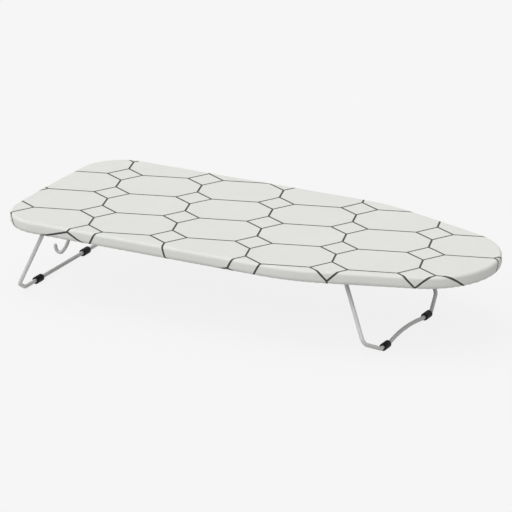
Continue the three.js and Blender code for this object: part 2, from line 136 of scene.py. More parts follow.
# The ripples of a weld bead, as a share of its radius and as an angle from one ring to the next
WELD_RIPPLE = 0.1
WELD_RIPPLE_TURN = 1.05

# What the gathers keep of their depth where the edge runs straight
GATHER_LEAST = 0.35

# Colours of dust, as linear light
HOUSE_DUST = (0.55, 0.53, 0.5)
FLOOR_DUST = (0.3, 0.29, 0.27)

# The studio: floor, film and the headings of the lights
FLOOR_REACH = 30.0
FILM_WIDTH = 36.0
VIEW_REACH = 100.0
LIGHT_SPREAD = math.radians(70)
KEY_HEADING = (0.2, 0.52, -1.0)
FILL_HEADING = (1.0, 0.25, -0.5)


# Sizes and colours that a user would change

def length(name, description, millimetres):
    """A length property, written in millimetres and kept in metres."""
    return FloatProperty(
        name=name, description=description, default=millimetres * MM, min=0.0, precision=5, unit="LENGTH"
    )


def angle(name, description, degrees):
    """An angle property, written in degrees and kept in radians."""
    return FloatProperty(name=name, description=description, default=math.radians(degrees), subtype="ANGLE")


def share(name, description, value):
    """A plain number property from 0 up."""
    return FloatProperty(
        name=name, description=description, default=value, min=0.0, soft_max=1.0, subtype="FACTOR"
    )


def colour(name, description, *levels):
    """A colour property, written as screen levels from 0 to 255 and kept as linear light."""
    light = tuple(((level / 255 + 0.055) / 1.055) ** 2.4 for level in levels)
    return FloatVectorProperty(
        name=name, description=description, default=light, min=0.0, max=1.0, subtype="COLOR"
    )


class BoardSizes(bpy.types.PropertyGroup):
    """The padded board: its outline from above, its cover and what the cover is drawn over."""

    long: length("Length", "Length of the board from tail to nose", (cover_high.x - cover_low.x) / MM)
    wide: length("Width", "Width of the board across its straight sides", (cover_high.y - cover_low.y) / MM)
    top: length("Height", "Height of the ironing face above the table", cover_high.z / MM)
    tail_radius: length("Tail radius", "Radius of the shallow arc across the tail", 2000)
    corner_radius: length("Corner radius", "Radius of the two tail corners", 65)
    shoulder_radius: length("Shoulder radius", "Radius of the soft turn from each side to its taper", 300)
    nose_long: length("Nose length", "Length of the tapering nose", 243)
    nose_radius: length("Nose radius", "Radius of the round nose", 109.5)
    cloth: length("Cloth", "Thickness of the cover's cloth", 0.8)
    rounding: length("Edge rounding", "Radius of the padded upper edge", 4.5)
    rim: length("Rim tube", "Diameter of the steel tube under the deck's edge", 11)
    gap: length("Gap", "Gap between pieces that rest on each other", 0.3)
    hem_run: length("Hem run", "How far the cloth runs in under the rim before its hem", 9)
    hem: length("Hem", "Outer radius of the rolled hem", 2.59)
    elastic: length("Elastic", "Diameter of the elastic in the hem", 2.5)
    gather_pitch: length("Gather pitch", "Mean distance between the gathers of the hem", 12)
    gather_depth: length("Gather depth", "How far the gathers rise and fall at the corners", 1.1)
    stitch_pitch: length("Stitch pitch", "Distance from one hem stitch to the next", 5)
    stitch: length("Stitch", "Thickness of the sewing thread", 0.5)


class PrintSizes(bpy.types.PropertyGroup):
    """The cover's print: a lattice of octagons and small squares in thin lines."""

    pitch_along: length("Pitch along", "Distance from one octagon to the next along the lattice", 124)
    pitch_across: length("Pitch across", "Distance from one octagon to the next across the lattice", 86)
    square: length("Square", "Half the diagonal of the small squares", 27)
    line: length("Line", "Width of the printed lines", 3)
    turn: angle("Turn", "How far the lattice is turned from the board's length", 17)
    thread: length("Thread", "Distance between the threads of the weave", 0.55)


class FrameSizes(bpy.types.PropertyGroup):
    """The deck's border and mesh, the rails, the saddles, the rivets and the welds."""

    border: length("Border", "How far the deck's plain border reaches in from the board's edge", 17)
    overhang: length("Overhang", "How far the deck reaches out past the rim tube's middle", 3)
    rail_depth: length("Rail depth", "Depth of the rails' channel under the deck", 6)
    strand_long: length("Mesh length", "Length of one diamond of the expanded mesh", 17)
    strand_wide: length("Mesh width", "Width of one diamond of the expanded mesh", 8)
    strand: length("Strand", "Width of the mesh strands", 1.15)
    strand_thick: length("Strand thickness", "Thickness of the mesh strands", 0.5)
    strand_tilt: angle("Strand tilt", "How far the stretching has tilted the strands", 20)
    strand_tuck: length("Strand tuck", "How far the mesh reaches into the plain border", 4)
    saddle_sheet: length("Saddle sheet", "Thickness of the strap steel", 1.2)
    saddle_long: length("Saddle length", "Width of each strap along the axle", 16)
    saddle_reach: length("Saddle reach", "How far each flange reaches from the axle", 13)
    rivet_head: length("Rivet head", "Diameter of the rivets' heads", 5.2)
    rivet_rise: length("Rivet rise", "Height of the rivets' heads", 1.5)
    weld: length("Weld", "Radius of the weld beads at the rails' ends", 1.7)


class LegSizes(bpy.types.PropertyGroup):
    """The two folding wire legs, their feet and the hanging hook."""

    wire: length("Leg wire", "Diameter of the legs' wire", 6)
    tilt: angle("Tilt", "How far the standing legs lean outwards", 26.5)
    bend: length("Bend", "Radius of the wire's bends", 12)
    seam: length("Seam", "Where the wire's butt weld lies along the axle", 40)
    tail_axle: length("Tail axle", "Spread of the tail leg's arms at the axle", 265.6)
    tail_knee: length("Tail knee", "Spread of the tail leg's arms above the foot bar", 265.6)
    tail_rise: length("Tail rise", "How far the tail leg's shoulders rise from the foot bar", 16)
    tail_feet: length("Tail feet", "Spread of the tail leg's feet", 136)
    tail_over: length("Tail overhang", "Foot bar beyond each tail foot", 29)
    nose_axle: length("Nose axle", "Spread of the nose leg's arms at the axle", 190)
    nose_knee: length("Nose knee", "Spread of the nose leg's arms above the foot bar", 239)
    nose_rise: length("Nose rise", "How far the nose leg's shoulders rise from the foot bar", 20.5)
    nose_feet: length("Nose feet", "Spread of the nose leg's feet", 135.5)
    nose_over: length("Nose overhang", "Foot bar beyond each nose foot", 5)
    nose_arch: length("Nose arch", "How far the nose leg's foot bar arches between its feet", 4)
    foot: length("Foot", "Diameter of the foot sleeves", 11)
    foot_long: length("Foot length", "Length of the foot sleeves", 18)
    hook_wire: length("Hook wire", "Diameter of the hook's wire", 5.5)
    hook_lean: angle("Hook lean", "How far the hook's shank leans from plumb", 33)
    hook_play: length("Hook play", "Gap between the hook's eye and the axle", 0.6)
    hook_wrap: angle("Hook wrap", "How far the hook's eye goes round the axle", 281)
    hook_neck: length("Hook neck", "Radius of the bend from the eye to the shank", 5)
    hook_sway: length("Hook sway", "Radius of the two gentle turns below the shank", 53)
    hook_back: angle("Hook back", "How far the first gentle turn goes back under the board", 14.8)
    hook_out: angle("Hook out", "How far the second gentle turn goes out again", 23)
    hook_bend: length("Hook bend", "Radius of the hook's bend", 6.5)
    hook_turn: angle("Hook turn", "How far the hook's bend turns", 127)
    hook_tip: length("Hook tip", "Straight length after the bend", 4.75)
    hook_clear: length("Hook clearance", "Gap between the hook and the foot bar", 8.5)


class FinishColours(bpy.types.PropertyGroup):
    """The colours of the finishes."""

    cloth: colour("Cloth", "Bleached cotton of the cover", 229, 230, 225)
    ink: colour("Ink", "Printed lines of the cover", 15, 15, 16)
    thread: colour("Thread", "Sewing thread of the hem", 232, 231, 226)
    foam: colour("Foam", "Open-cell foam of the pad", 233, 230, 222)
    elastic: colour("Elastic", "Braided elastic in the hem", 236, 235, 230)
    sheet: colour("Sheet steel", "Powder coat of the deck, rim and rails", 190, 192, 191)
    wire: colour("Wire", "Lacquer of the legs and the hook", 222, 223, 221)
    rivet: colour("Rivet", "Zinc plating of the rivets", 172, 174, 176)
    rubber: colour("Rubber", "Black rubber of the feet", 9, 9, 10)


class StudioSettings(bpy.types.PropertyGroup):
    """Camera, floor and light."""

    azimuth: angle("Azimuth", "How far round the camera stands", 28.1)
    elevation: angle("Elevation", "How high the camera stands", 20.05)
    distance: length("Distance", "How far the camera stands from its aim", 5152)
    lens: FloatProperty(name="Lens", description="Focal length of the camera in mm", default=249.47, min=1.0)
    aim_height: length("Aim height", "Height of the point that the camera looks at", 79.11)
    aim_left: length("Aim left", "How far the camera looks to the left of the board's middle", 13.06)
    backdrop: colour("Backdrop", "Colour of the floor and the background", 246, 246, 246)
    shadow: share("Shadow", "Share of the floor's own shading that the camera sees", 0.08)
    bounce: share("Bounce", "Share of the light that the floor gives back to the board", 0.62)
    ambient: share("Ambient", "Strength of the light from all round", 0.45)
    key: share("Key", "Strength of the soft light from above the near side", 1.77)
    fill: share("Fill", "Strength of the soft light from the tail end", 0.25)


# Shader expressions

class Reading:
    """An output of a shader node that takes part in arithmetic: each operator adds one Math node."""

    def __init__(self, tree, socket):
        self.tree = tree
        self.socket = socket

    def out(self, name):
        return Reading(self.tree, self.socket.node.outputs[name])

    def math(self, operation, *values):
        return self.tree.node("ShaderNodeMath", {"operation": operation}, dict(enumerate(values)))

    def __add__(self, other):
        return self.math("ADD", self, other)

    def __radd__(self, other):
        return self.math("ADD", other, self)

    def __sub__(self, other):
        return self.math("SUBTRACT", self, other)

    def __rsub__(self, other):
        return self.math("SUBTRACT", other, self)

    def __mul__(self, other):
        return self.math("MULTIPLY", self, other)

    def __rmul__(self, other):
        return self.math("MULTIPLY", other, self)

    def __abs__(self):
        return self.math("ABSOLUTE", self)

    def least(self, other):
        return self.math("MINIMUM", self, other)

    def most(self, other):
        return self.math("MAXIMUM", self, other)

    def sine(self):
        return self.math("SINE", self)

    def fraction(self):
        return self.math("FRACT", self)


class Tree:
    """The node tree of a material or a world, its owner."""

    def __init__(self, owner):
        owner.use_nodes = True
        self.owner = owner
        self.tree = owner.node_tree
        self.tree.nodes.clear()

    def node(self, kind, settings=None, inputs=None, output=0):
        """Adds a node of a kind: its settings are set first, then the values or links of its sockets."""
        made = self.tree.nodes.new(kind)
        for name, value in (settings or {}).items():
            setattr(made, name, value)
        for key, value in (inputs or {}).items():
            socket = made.inputs[key]
            if isinstance(value, Reading):
                self.tree.links.new(value.socket, socket)
            elif socket.type == "RGBA":
                socket.default_value = (*value[:3], 1.0)
            else:
                socket.default_value = value
        return Reading(self, made.outputs[output]) if made.outputs else None

    def attribute(self, name):
        return self.node("ShaderNodeAttribute", {"attribute_name": name}, output="Vector")

    def object_place(self):
        return self.node("ShaderNodeTexCoord", output="Object")

    def part(self, vector, axis):
        return self.node("ShaderNodeSeparateXYZ", None, {0: vector}, axis)

    def stretched(self, vector, scales):
        return self.node("ShaderNodeVectorMath", {"operation": "MULTIPLY"}, {0: vector, 1: scales})

    def noise(self, vector, scale, detail=2.0):
        return self.node("ShaderNodeTexNoise", None, {"Vector": vector, "Scale": scale, "Detail": detail})

    def cells(self, vector, scale):
        return self.node("ShaderNodeTexVoronoi", None, {"Vector": vector, "Scale": scale})

    def eased(self, value, low, high):
        """0 up to low, 1 from high and a smooth step between."""
        inputs = {"Value": value, "From Min": low, "From Max": high}
        return self.node("ShaderNodeMapRange", {"interpolation_type": "SMOOTHSTEP"}, inputs)

    def mixed(self, factor, first, second):
        """A colour that goes from first to second as factor goes from 0 to 1."""
        return self.node("ShaderNodeMix", {"data_type": "RGBA"}, {0: factor, 6: first, 7: second}, 2)

    def toned(self, factor, light, low, high):
        """A colour that goes from low to high times a light as factor goes from 0 to 1."""
        return self.mixed(factor, scaled(light, low), scaled(light, high))

    def bump(self, height, distance, strength=1.0):
        inputs = {"Height": height, "Distance": distance, "Strength": strength}
        return self.node("ShaderNodeBump", None, inputs)

    def blended(self, factor, first, second):
        """A shader that goes from first to second as factor goes from 0 to 1."""
        return self.node("ShaderNodeMixShader", None, {0: factor, 1: first, 2: second})

    def finish(self, shader):
        """Ends the tree of a material in a shader and gives the material."""
        self.node("ShaderNodeOutputMaterial", None, {"Surface": shader})
        return self.owner

    def surface(self, sockets):
        """Ends the tree in a Principled shader with values or links for its sockets; gives the material."""
        return self.finish(self.node("ShaderNodeBsdfPrincipled", None, sockets))


def new_finish(name):
    """The empty node tree of a new material."""
    return Tree(bpy.data.materials.new(name))


def scaled(light, factor):
    """A colour times a factor, each level held at 1."""
    return tuple(min(level * factor, 1.0) for level in light)


# Finishes

def printed_cotton(colours, sizes):
    """Bleached plain weave with a thin line print, both laid out on the flat cut of the cloth.

    A point's distances from the nearest cross edge and the nearest long edge of the lattice give its distance
    from the octagons' sides. The small squares cut the lattice's corners, where the sum of the two is less
    than their half diagonal.
    """
    tree = new_finish("printed_cotton")
    flat = tree.attribute("flat_cut")
    x = tree.part(flat, "X")
    y = x.out("Y")
    cosine, sine = math.cos(sizes.turn), math.sin(sizes.turn)
    along = (x * cosine + y * sine) * (1 / sizes.pitch_along)
    across = (y * cosine - x * sine) * (1 / sizes.pitch_across)
    from_cross = (0.5 - abs(along.fraction() - 0.5)) * sizes.pitch_along
    from_long = (0.5 - abs(across.fraction() - 0.5)) * sizes.pitch_across
    sides = from_cross.most(sizes.square - from_long).least(from_long.most(sizes.square - from_cross))
    edge = sides.least(abs(from_cross + from_long - sizes.square) * math.sqrt(0.5))
    fray = (tree.noise(flat, 900.0, 1.0) - 0.5) * (0.3 * MM)
    bleed = 0.2 * MM
    ink = 1 - tree.eased(edge + fray, sizes.line / 2 - bleed, sizes.line / 2 + bleed)

    turns = math.pi / sizes.thread
    weave = abs((x * turns).sine() * (y * turns).sine())
    slub = tree.noise(tree.stretched(flat, (60.0, 900.0, 1.0)), 1.0)
    mottled = tree.toned(tree.noise(flat, 14.0), colours.cloth, 0.97, 1.03)
    woven = tree.mixed((weave - 0.4) * 0.35, mottled, scaled(colours.cloth, 0.8))
    return tree.surface({
        "Base Color": tree.mixed(ink * (0.85 + slub * 0.15), woven, colours.ink),
        "Roughness": 0.94 - ink * 0.12,
        "Normal": tree.bump(weave + slub * 0.6, 0.06 * MM, 0.6),
        "Sheen Weight": 0.06,
        "Sheen Roughness": 0.6,
        "Specular IOR Level": 0.2,
    })


def sewing_thread(colours):
    """Twisted cotton thread, with painted shade in the low grooves of its twist."""
    tree = new_finish("sewing_thread")
    twist = tree.noise(tree.object_place(), 2600.0, 1.0)
    # The base colour is darker where the twist's bump is low: painted shade in its grooves.
    return tree.surface({
        "Base Color": tree.toned(twist, colours.thread, 0.85, 1.0),
        "Roughness": 0.7 + twist * 0.2,
        "Normal": tree.bump(twist, 0.1 * MM),
    })


def open_foam(colours):
    """Small round cells of two sizes, with painted shade in their hollows."""
    tree = new_finish("open_foam")
    place = tree.object_place()
    cells = tree.cells(place, 620.0).least(tree.cells(place, 980.0))
    tint = tree.noise(place, 22.0)
    pale = tree.toned(tint, colours.foam, 0.93, 1.05)
    # The base colour goes to a darker copy of the foam in the cells' hollows: painted shade.
    return tree.surface({
        "Base Color": tree.mixed(tree.eased(cells, 0.1, 0.5), scaled(colours.foam, 0.7), pale),
        "Roughness": 0.9 + tint * 0.08,
        "Normal": tree.bump(cells, 0.5 * MM),
        "Specular IOR Level": 0.2,
    })


def braided_elastic(colours):
    """A braid that repeats along the loop, with painted shade between its strands."""
    tree = new_finish("braided_elastic")
    wave = {"Vector": tree.attribute("run"), "Scale": 300.0, "Distortion": 2.0}
    braid = tree.node("ShaderNodeTexWave", None, wave)
    # The base colour is darker where the braid's bump is low: painted shade between the strands.
    return tree.surface({
        "Base Color": tree.toned(braid, colours.elastic, 0.75, 1.0),
        "Roughness": 0.65 + braid * 0.2,
        "Normal": tree.bump(braid, 0.2 * MM),
    })


def powder_coat(colours):
    """A pebbled grey coat: fine orange peel, a cloudy tint and a little dust."""
    tree = new_finish("powder_coat")
    place = tree.object_place()
    peel = tree.noise(place, 1100.0, 1.0)
    cloud = tree.noise(place, 26.0, 3.0)
    dust = tree.eased(tree.noise(place, 70.0, 4.0), 0.58, 0.8)
    tinted = tree.toned(cloud, colours.sheet, 0.86, 1.06)
    return tree.surface({
        "Base Color": tree.mixed(dust * 0.25, tinted, HOUSE_DUST),
        "Roughness": 0.38 + peel * 0.12 + dust * 0.15,
        "Metallic": 0.55 - dust * 0.3,
        "Normal": tree.bump(peel, 0.08 * MM, 0.5),
    })


def lacquered_wire(colours):
    """Drawn wire under satin lacquer: faint lengthwise draw lines, cloudy gloss and a few rubbed spots."""
    tree = new_finish("lacquered_wire")
    run = tree.attribute("run")
    lines = tree.noise(tree.stretched(run, (12.0, 1500.0, 1500.0)), 1.0)
    cloud = tree.noise(run, 55.0, 3.0)
    rubbed = tree.eased(tree.noise(run, 130.0, 3.0), 0.62, 0.8)
    tinted = tree.toned(cloud, colours.wire, 0.9, 1.05)
    drawn = tree.mixed(lines * 0.3, tinted, scaled(colours.wire, 0.72))
    return tree.surface({
        "Base Color": tree.mixed(rubbed * 0.3, drawn, scaled(colours.wire, 1.2)),
        "Roughness": 0.3 + cloud * 0.12 + lines * 0.08,
        "Metallic": 0.06 + rubbed * 0.2,
        "Normal": tree.bump(lines, 0.03 * MM, 0.4),
        "Coat Weight": 0.12 - rubbed * 0.08,
        "Coat Roughness": 0.25,
    })


def zinc_plate(colours):
    """Bright plating with a cloudy bloom and fine scuffs across it."""
    tree = new_finish("zinc_plate")
    place = tree.object_place()
    bloom = tree.noise(place, 420.0, 3.0)
    scuff = tree.noise(tree.stretched(place, (2600.0, 300.0, 300.0)), 1.0)
    return tree.surface({
        "Base Color": tree.toned(bloom, colours.rivet, 0.8, 1.1),
        "Roughness": 0.26 + bloom * 0.18,
        "Metallic": 0.9,
        "Normal": tree.bump(scuff, 0.04 * MM, 0.5),
    })


def foot_rubber(colours):
    """Matt black rubber with a fine moulded grain and pale dust low down, where it stands on the table."""
    tree = new_finish("foot_rubber")
    place = tree.object_place()
    grain = tree.noise(place, 1700.0, 2.0)
    low = 1 - tree.eased(tree.part(place, "Z"), 0.0, 2.5 * MM)
    dust = tree.eased(tree.noise(place, 380.0, 4.0), 0.5, 0.75) * (0.12 + low * 0.4)
    tinted = tree.toned(grain, colours.rubber, 0.7, 1.5)
    return tree.surface({
        "Base Color": tree.mixed(dust * 0.05, tinted, FLOOR_DUST),
        "Roughness": 0.5 + grain * 0.14 + dust * 0.2,
        "Normal": tree.bump(grain, 0.06 * MM, 0.5),
        "Specular IOR Level": 0.2,
    })


# Grids and paths

def unit(vectors):
    """Vectors scaled to length 1."""
    return vectors / np.linalg.norm(vectors, axis=-1, keepdims=True)


def grid_faces(rows, columns, close_rows=False, close_columns=False):
    """Quads between a grid's points, numbered row by row; a closed way joins its last line to its first."""
    row = np.arange(rows if close_rows else rows - 1)
    column = np.arange(columns if close_columns else columns - 1)
    here_row, here_column = np.meshgrid(row, column, indexing="ij")
    next_row = (here_row + 1) % rows
    next_column = (here_column + 1) % columns
    corners = [
        here_row * columns + here_column,
        next_row * columns + here_column,
        next_row * columns + next_column,
        here_row * columns + next_column,
    ]
    return np.stack(corners, axis=-1).reshape(-1, 4)


def many_grids(grids, faces):
    """The faces of one grid repeated for each of several grids of the same size."""
    count, size = len(grids), grids[0].shape[0] * grids[0].shape[1]
    return (faces[None] + (np.arange(count) * size)[:, None, None]).reshape(-1, faces.shape[1])


def along_path(path):
    """The distance along a path at each of its points."""
    steps = np.linalg.norm(np.diff(path, axis=0), axis=1)
    return np.concatenate([[0.0], np.cumsum(steps)])


def evened(path, step, closed=False):
    """A path stepped again at even distances of about the step."""
    if closed:
        path = np.concatenate([path, path[:1]])
    keep = np.concatenate([[True], np.linalg.norm(np.diff(path, axis=0), axis=1) > SAME_POINT])
    path = path[keep]
    along = along_path(path)
    count = max(int(round(along[-1] / step)), 2)
    places = np.linspace(0.0, along[-1], count + 1)
    if closed:
        places = places[:-1]
    return np.stack([np.interp(places, along, path[:, axis]) for axis in range(path.shape[1])], axis=1)


def arc(first, second, radius, start, end, steps):
    """Points on an arc round the centre (first, second), its two ends included."""
    turn = np.linspace(start, end, steps + 1)
    return np.stack([first + radius * np.cos(turn), second + radius * np.sin(turn)], axis=1)


def outline(sizes, count):
    """Points and outward normals at even steps along the board's edge, anticlockwise from the tail's middle.

    Half the edge is a shallow arc across the tail, a corner arc, a straight side, a shoulder arc, a straight
    taper and the nose's arc, each tangent to the next. The other half is its mirror image.
    """
    half_wide, half_long = sizes.wide / 2, sizes.long / 2
    corner_y = half_wide - sizes.corner_radius
    tail_x = sizes.tail_radius - half_long
    reach = sizes.tail_radius - sizes.corner_radius
    corner_x = tail_x - math.sqrt(reach**2 - corner_y**2)
    turn = math.asin(corner_y / reach)
    tail = arc(tail_x, 0.0, sizes.tail_radius, math.pi, math.pi + turn, OUTLINE_FINE)
    corner = arc(corner_x, -corner_y, sizes.corner_radius, math.pi + turn, 1.5 * math.pi, OUTLINE_FINE)
    nose_x = half_long - sizes.nose_radius
    taper_x = half_long - sizes.nose_long
    taper_run = nose_x - taper_x
    taper = math.atan2(half_wide, taper_run) - math.asin(sizes.nose_radius / math.hypot(taper_run, half_wide))
    shoulder_x = taper_x - sizes.shoulder_radius * math.tan(taper / 2)
    shoulder_y = sizes.shoulder_radius - half_wide
    ahead = taper - math.pi / 2
    shoulder = arc(shoulder_x, shoulder_y, sizes.shoulder_radius, -math.pi / 2, ahead, OUTLINE_FINE)
    nose = arc(nose_x, 0.0, sizes.nose_radius, ahead, 0.0, OUTLINE_FINE)
    near = np.concatenate([tail, corner, shoulder, nose])
    edge = np.concatenate([near, near[::-1] * [1.0, -1.0]])
    girth = along_path(edge)[-1]
    points = evened(edge, girth / count)[:count]
    ahead = np.roll(points, -1, axis=0) - np.roll(points, 1, axis=0)
    return points, unit(np.stack([ahead[:, 1], -ahead[:, 0]], axis=1))


def raised(flat, heights):
    """Flat points, each lifted to its height."""
    heights = np.broadcast_to(heights, flat.shape[:-1])
    return np.concatenate([flat, heights[..., None]], axis=-1)


def rings(edge, insets, heights):
    """Rings that follow the board's edge: row by row, the edge moved in by an inset at a height."""
    points, normals = edge
    insets, heights = np.broadcast_arrays(insets, heights)
    return raised(points[None] - normals[None] * insets[..., None], heights)


def spread(sizes, border, parts):
    """Rows of a flat face, each a share of the way from the board's middle line out to a border line."""
    ends = [MIDDLE_FROM_TAIL * sizes.wide - sizes.long / 2, sizes.long / 2 - MIDDLE_FROM_NOSE * sizes.wide]
    middle = np.stack([np.clip(border[:, 0], *ends), np.zeros(len(border))], axis=1)
    return middle + (border - middle) * np.array(parts)[:, None, None]


def tube(path, radius, up, closed=False):
    """A round bar: at each point of the path a circle of that radius lies square to the path.

    up is a direction that the path never takes. With the grid comes the distance along the bar and the place
    round it, for finishes that follow the wire.
    """
    ahead = np.roll(path, -1, axis=0) - np.roll(path, 1, axis=0)
    if not closed:
        ahead[0] = path[1] - path[0]
        ahead[-1] = path[-1] - path[-2]
    ahead = unit(ahead)
    side = unit(np.cross(up, ahead))
    over = np.cross(ahead, side)
    turn = np.arange(WIRE_SIDES) * (2 * math.pi / WIRE_SIDES)
    circle = side[:, None] * np.cos(turn)[:, None] + over[:, None] * np.sin(turn)[:, None]
    radius = np.broadcast_to(radius, len(path))
    grid = path[:, None] + circle * radius[:, None, None]
    along = np.broadcast_to(along_path(path)[:, None], grid.shape[:2])
    around = np.broadcast_to(np.stack([np.cos(turn), np.sin(turn)], axis=-1)[None], (*grid.shape[:2], 2))
    run = np.concatenate([along[..., None], around * np.max(radius)], axis=-1)
    return grid, run


def domed(path, radius):
    """An open path carried on by a half ball at each end, and its radius at each point."""
    rise = np.linspace(0.0, math.pi / 2, DOME_STEPS + 1)[1:]
    start = path[0] + unit(path[0] - path[1]) * (radius * np.sin(rise))[::-1, None]
    end = path[-1] + unit(path[-1] - path[-2]) * (radius * np.sin(rise))[:, None]
    shrink = radius * np.cos(rise)
    radii = np.concatenate([shrink[::-1], np.full(len(path), radius), shrink])
    return np.concatenate([start, path, end]), radii


def butt_bead(distance, reach, rise):
    """How far a butt weld swells a bar: the rise at the joint, falling off as a bell curve of the reach."""
    return rise * np.exp(-((distance / reach) ** 2))


def turned(profile):
    """A profile of (radius, height) turned round an upright axis: points of a closed lathe grid."""
    turn = np.arange(LATHE_SIDES) * (2 * math.pi / LATHE_SIDES)
    radius, height = profile[:, 0], profile[:, 1]
    x = radius[:, None] * np.cos(turn)
    y = radius[:, None] * np.sin(turn)
    return np.stack([x, y, np.broadcast_to(height[:, None], x.shape)], axis=-1)


def bent_loop(corners):
    """A closed run of straight wire through (y, z, bend) corners, each rounded by an arc of its bend."""
    places = np.array([corner[:2] for corner in corners])
    runs = []
    for index, (_, _, bend) in enumerate(corners):
        corner = places[index]
        if bend == 0:
            runs.append(corner[None])
            continue
        back = unit(places[index - 1] - corner)
        onward = unit(places[(index + 1) % len(corners)] - corner)
        half = math.acos(back @ onward) / 2
        centre = corner + unit(back + onward) * bend / math.sin(half)
        start = corner + back * bend / math.tan(half) - centre
        end = corner + onward * bend / math.tan(half) - centre
        turn = math.pi - 2 * half
        part = np.linspace(0.0, 1.0, BEND_STEPS)[:, None]
        runs.append(centre + (start * np.sin((1 - part) * turn) + end * np.sin(part * turn)) / math.sin(turn))
    return np.concatenate(runs)


def add_piece(name, points, faces, material, body, attributes=None, closed=True):
    """A mesh piece on a body: doubles merged, a closed one's faces turned out, smooth but for sharp edges."""
    mesh = bpy.data.meshes.new(name)
    mesh.from_pydata(np.reshape(points, (-1, 3)).tolist(), [], [list(face) for face in faces])
    for label, values in (attributes or {}).items():
        layer = mesh.attributes.new(label, "FLOAT_VECTOR", "POINT")
        layer.data.foreach_set("vector", np.ravel(values).astype(np.float32))
    work = bmesh.new()
    work.from_mesh(mesh)
    bmesh.ops.remove_doubles(work, verts=work.verts, dist=WELD_DISTANCE)
    if closed:
        bmesh.ops.recalc_face_normals(work, faces=work.faces)
    work.to_mesh(mesh)
    work.free()
    mesh.polygons.foreach_set("use_smooth", np.ones(len(mesh.polygons), dtype=bool))
    mesh.set_sharp_from_angle(angle=SHARP_ANGLE)
    mesh.materials.append(material)
    piece = bpy.data.objects.new(name, mesh)
    bpy.context.scene.collection.objects.link(piece)
    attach(piece, body)
    return piece


def add_bar(name, path, radius, up, material, body, closed=False):
    """A round bar along a path, as a piece."""
    grid, run = tube(path, radius, up, closed=closed)
    faces = grid_faces(*grid.shape[:2], close_rows=closed, close_columns=True)
    return add_piece(name, grid, faces, material, body, {"run": run})


def put_on(node, material):
    """Gives a shown part of the frame its finish."""
    slots = frame["nodes"][node].data.materials
    slots.clear()
    slots.append(material)


# The cover's section and the gathers of its hem

def rim_inset(sizes):
    """How far the rim tube's middle lies in from the board's edge: the cloth, the gap and half the tube."""
    return sizes.cloth + sizes.gap + sizes.rim / 2


def rim_height(sizes):
    """Height of the rim tube's middle: half the tube and the gap under the deck."""
    return deck_low.z - sizes.gap - sizes.rim / 2


def hem_centre(sizes):
    """Inset and height of the middle of the rolled hem."""
    inset = rim_inset(sizes)
    return inset + sizes.hem_run, rim_height(sizes) - inset + sizes.hem


def gathers(sizes, edge):
    """How far the hem moves in and up at each step along the edge.

    A wave of the gathers' pitch is deeper where the edge turns tighter, because more cloth has to be drawn in
    there. Slow waves, a whole number of them round the board, make its phase drift and its height swell, so
    that no two gathers are alike.
    """
    points, normals = edge
    steps = np.linalg.norm(np.roll(points, -1, axis=0) - points, axis=1)
    girth = steps.sum()
    lap = 2 * math.pi * np.concatenate([[0.0], np.cumsum(steps)[:-1]]) / girth
    bends = np.linalg.norm(np.roll(normals, -1, axis=0) - normals, axis=1) / steps
    window = np.hanning(2 * GATHER_SMOOTHING + 1)
    padded = np.concatenate([bends[-GATHER_SMOOTHING:], bends, bends[:GATHER_SMOOTHING]])
    bends = np.convolve(padded, window / window.sum(), mode="valid")
    tightness = np.clip(bends * sizes.corner_radius, 0.0, 1.0)
    depth = sizes.gather_depth * (GATHER_LEAST + (1 - GATHER_LEAST) * tightness)
    waves = round(girth / sizes.gather_pitch)
    phase = waves * lap + 2.1 * np.sin(11 * lap + 0.7) + 1.4 * np.sin(23 * lap + 2.0)
    swell = 0.75 + 0.25 * np.sin(17 * lap + 1.1)
    rise = depth * swell * np.sin(phase)
    draw = 0.6 * depth * swell * np.sin(phase + 1.3 + 0.5 * np.sin(5 * lap))
    return draw, rise


def cover_section(sizes):
    """The cover's section from the ironing face's border to the end of the rolled hem, as (inset, height).

    It is an arc over the padded edge, an arc round the rim tube, a level run in under it and the hem's roll.
    """
    inset, height = rim_inset(sizes), rim_height(sizes)
    hem_inset, hem_height = hem_centre(sizes)
    edge_height, down = sizes.top - sizes.rounding, 1.5 * math.pi
    rounding = arc(sizes.rounding, edge_height, sizes.rounding, math.pi / 2, math.pi, ROUNDING_STEPS)
    wrap = arc(inset, height, inset, math.pi, down, WRAP_STEPS)
    run = np.linspace([inset, height - inset], [hem_inset, height - inset], RUN_STEPS + 1)[1:-1]
    roll = arc(hem_inset, hem_height, sizes.hem, down, down + HEM_ROLL, ROLL_STEPS)
    return np.concatenate([rounding, wrap, run, roll])


def cover_grid(sizes, edge):
    """The cover as rows from the middle line of the ironing face to the rolled hem, and its flat cut.

    On the face a row lies part of the way from the middle line to the border, and dips and ripples a little.
    Below it a row is the edge moved in by the section's inset, with the gathers growing from nothing at the
    top of the side to their full depth at the hem. The flat cut is the face itself, carried on outwards by
    the distance along the section.
    """
    points, normals = edge
    section = cover_section(sizes)
    draw, rise = gathers(sizes, edge)
    along = along_path(section)
    side_top, hem_start = along[ROUNDING_STEPS], along[HEM_ROW]
    grow = np.clip((along - side_top) / (hem_start - side_top), 0.0, 1.0)[:, None] ** 1.5
    below = rings(edge, section[:, :1] + grow * draw, section[:, 1:] + grow * rise)

    border = points - normals * sizes.rounding
    face = spread(sizes, border, FACE_PARTS)
    x, y = face[..., 0], face[..., 1]
    parts = np.array(FACE_PARTS)[:, None]
    ease = np.sin(0.5 * math.pi * parts) * (1 - parts**4)
    ripple = np.sin(x * 31 + y * 17) + np.sin(y * 43 - x * 13 + 1.0)
    top = raised(face, sizes.top - FACE_DIP * ease + FACE_RIPPLE * ease * ripple)

    flat_below = border[None] + normals[None] * along[:, None, None]
    return np.concatenate([top, below]), raised(np.concatenate([face, flat_below]), 0.0)


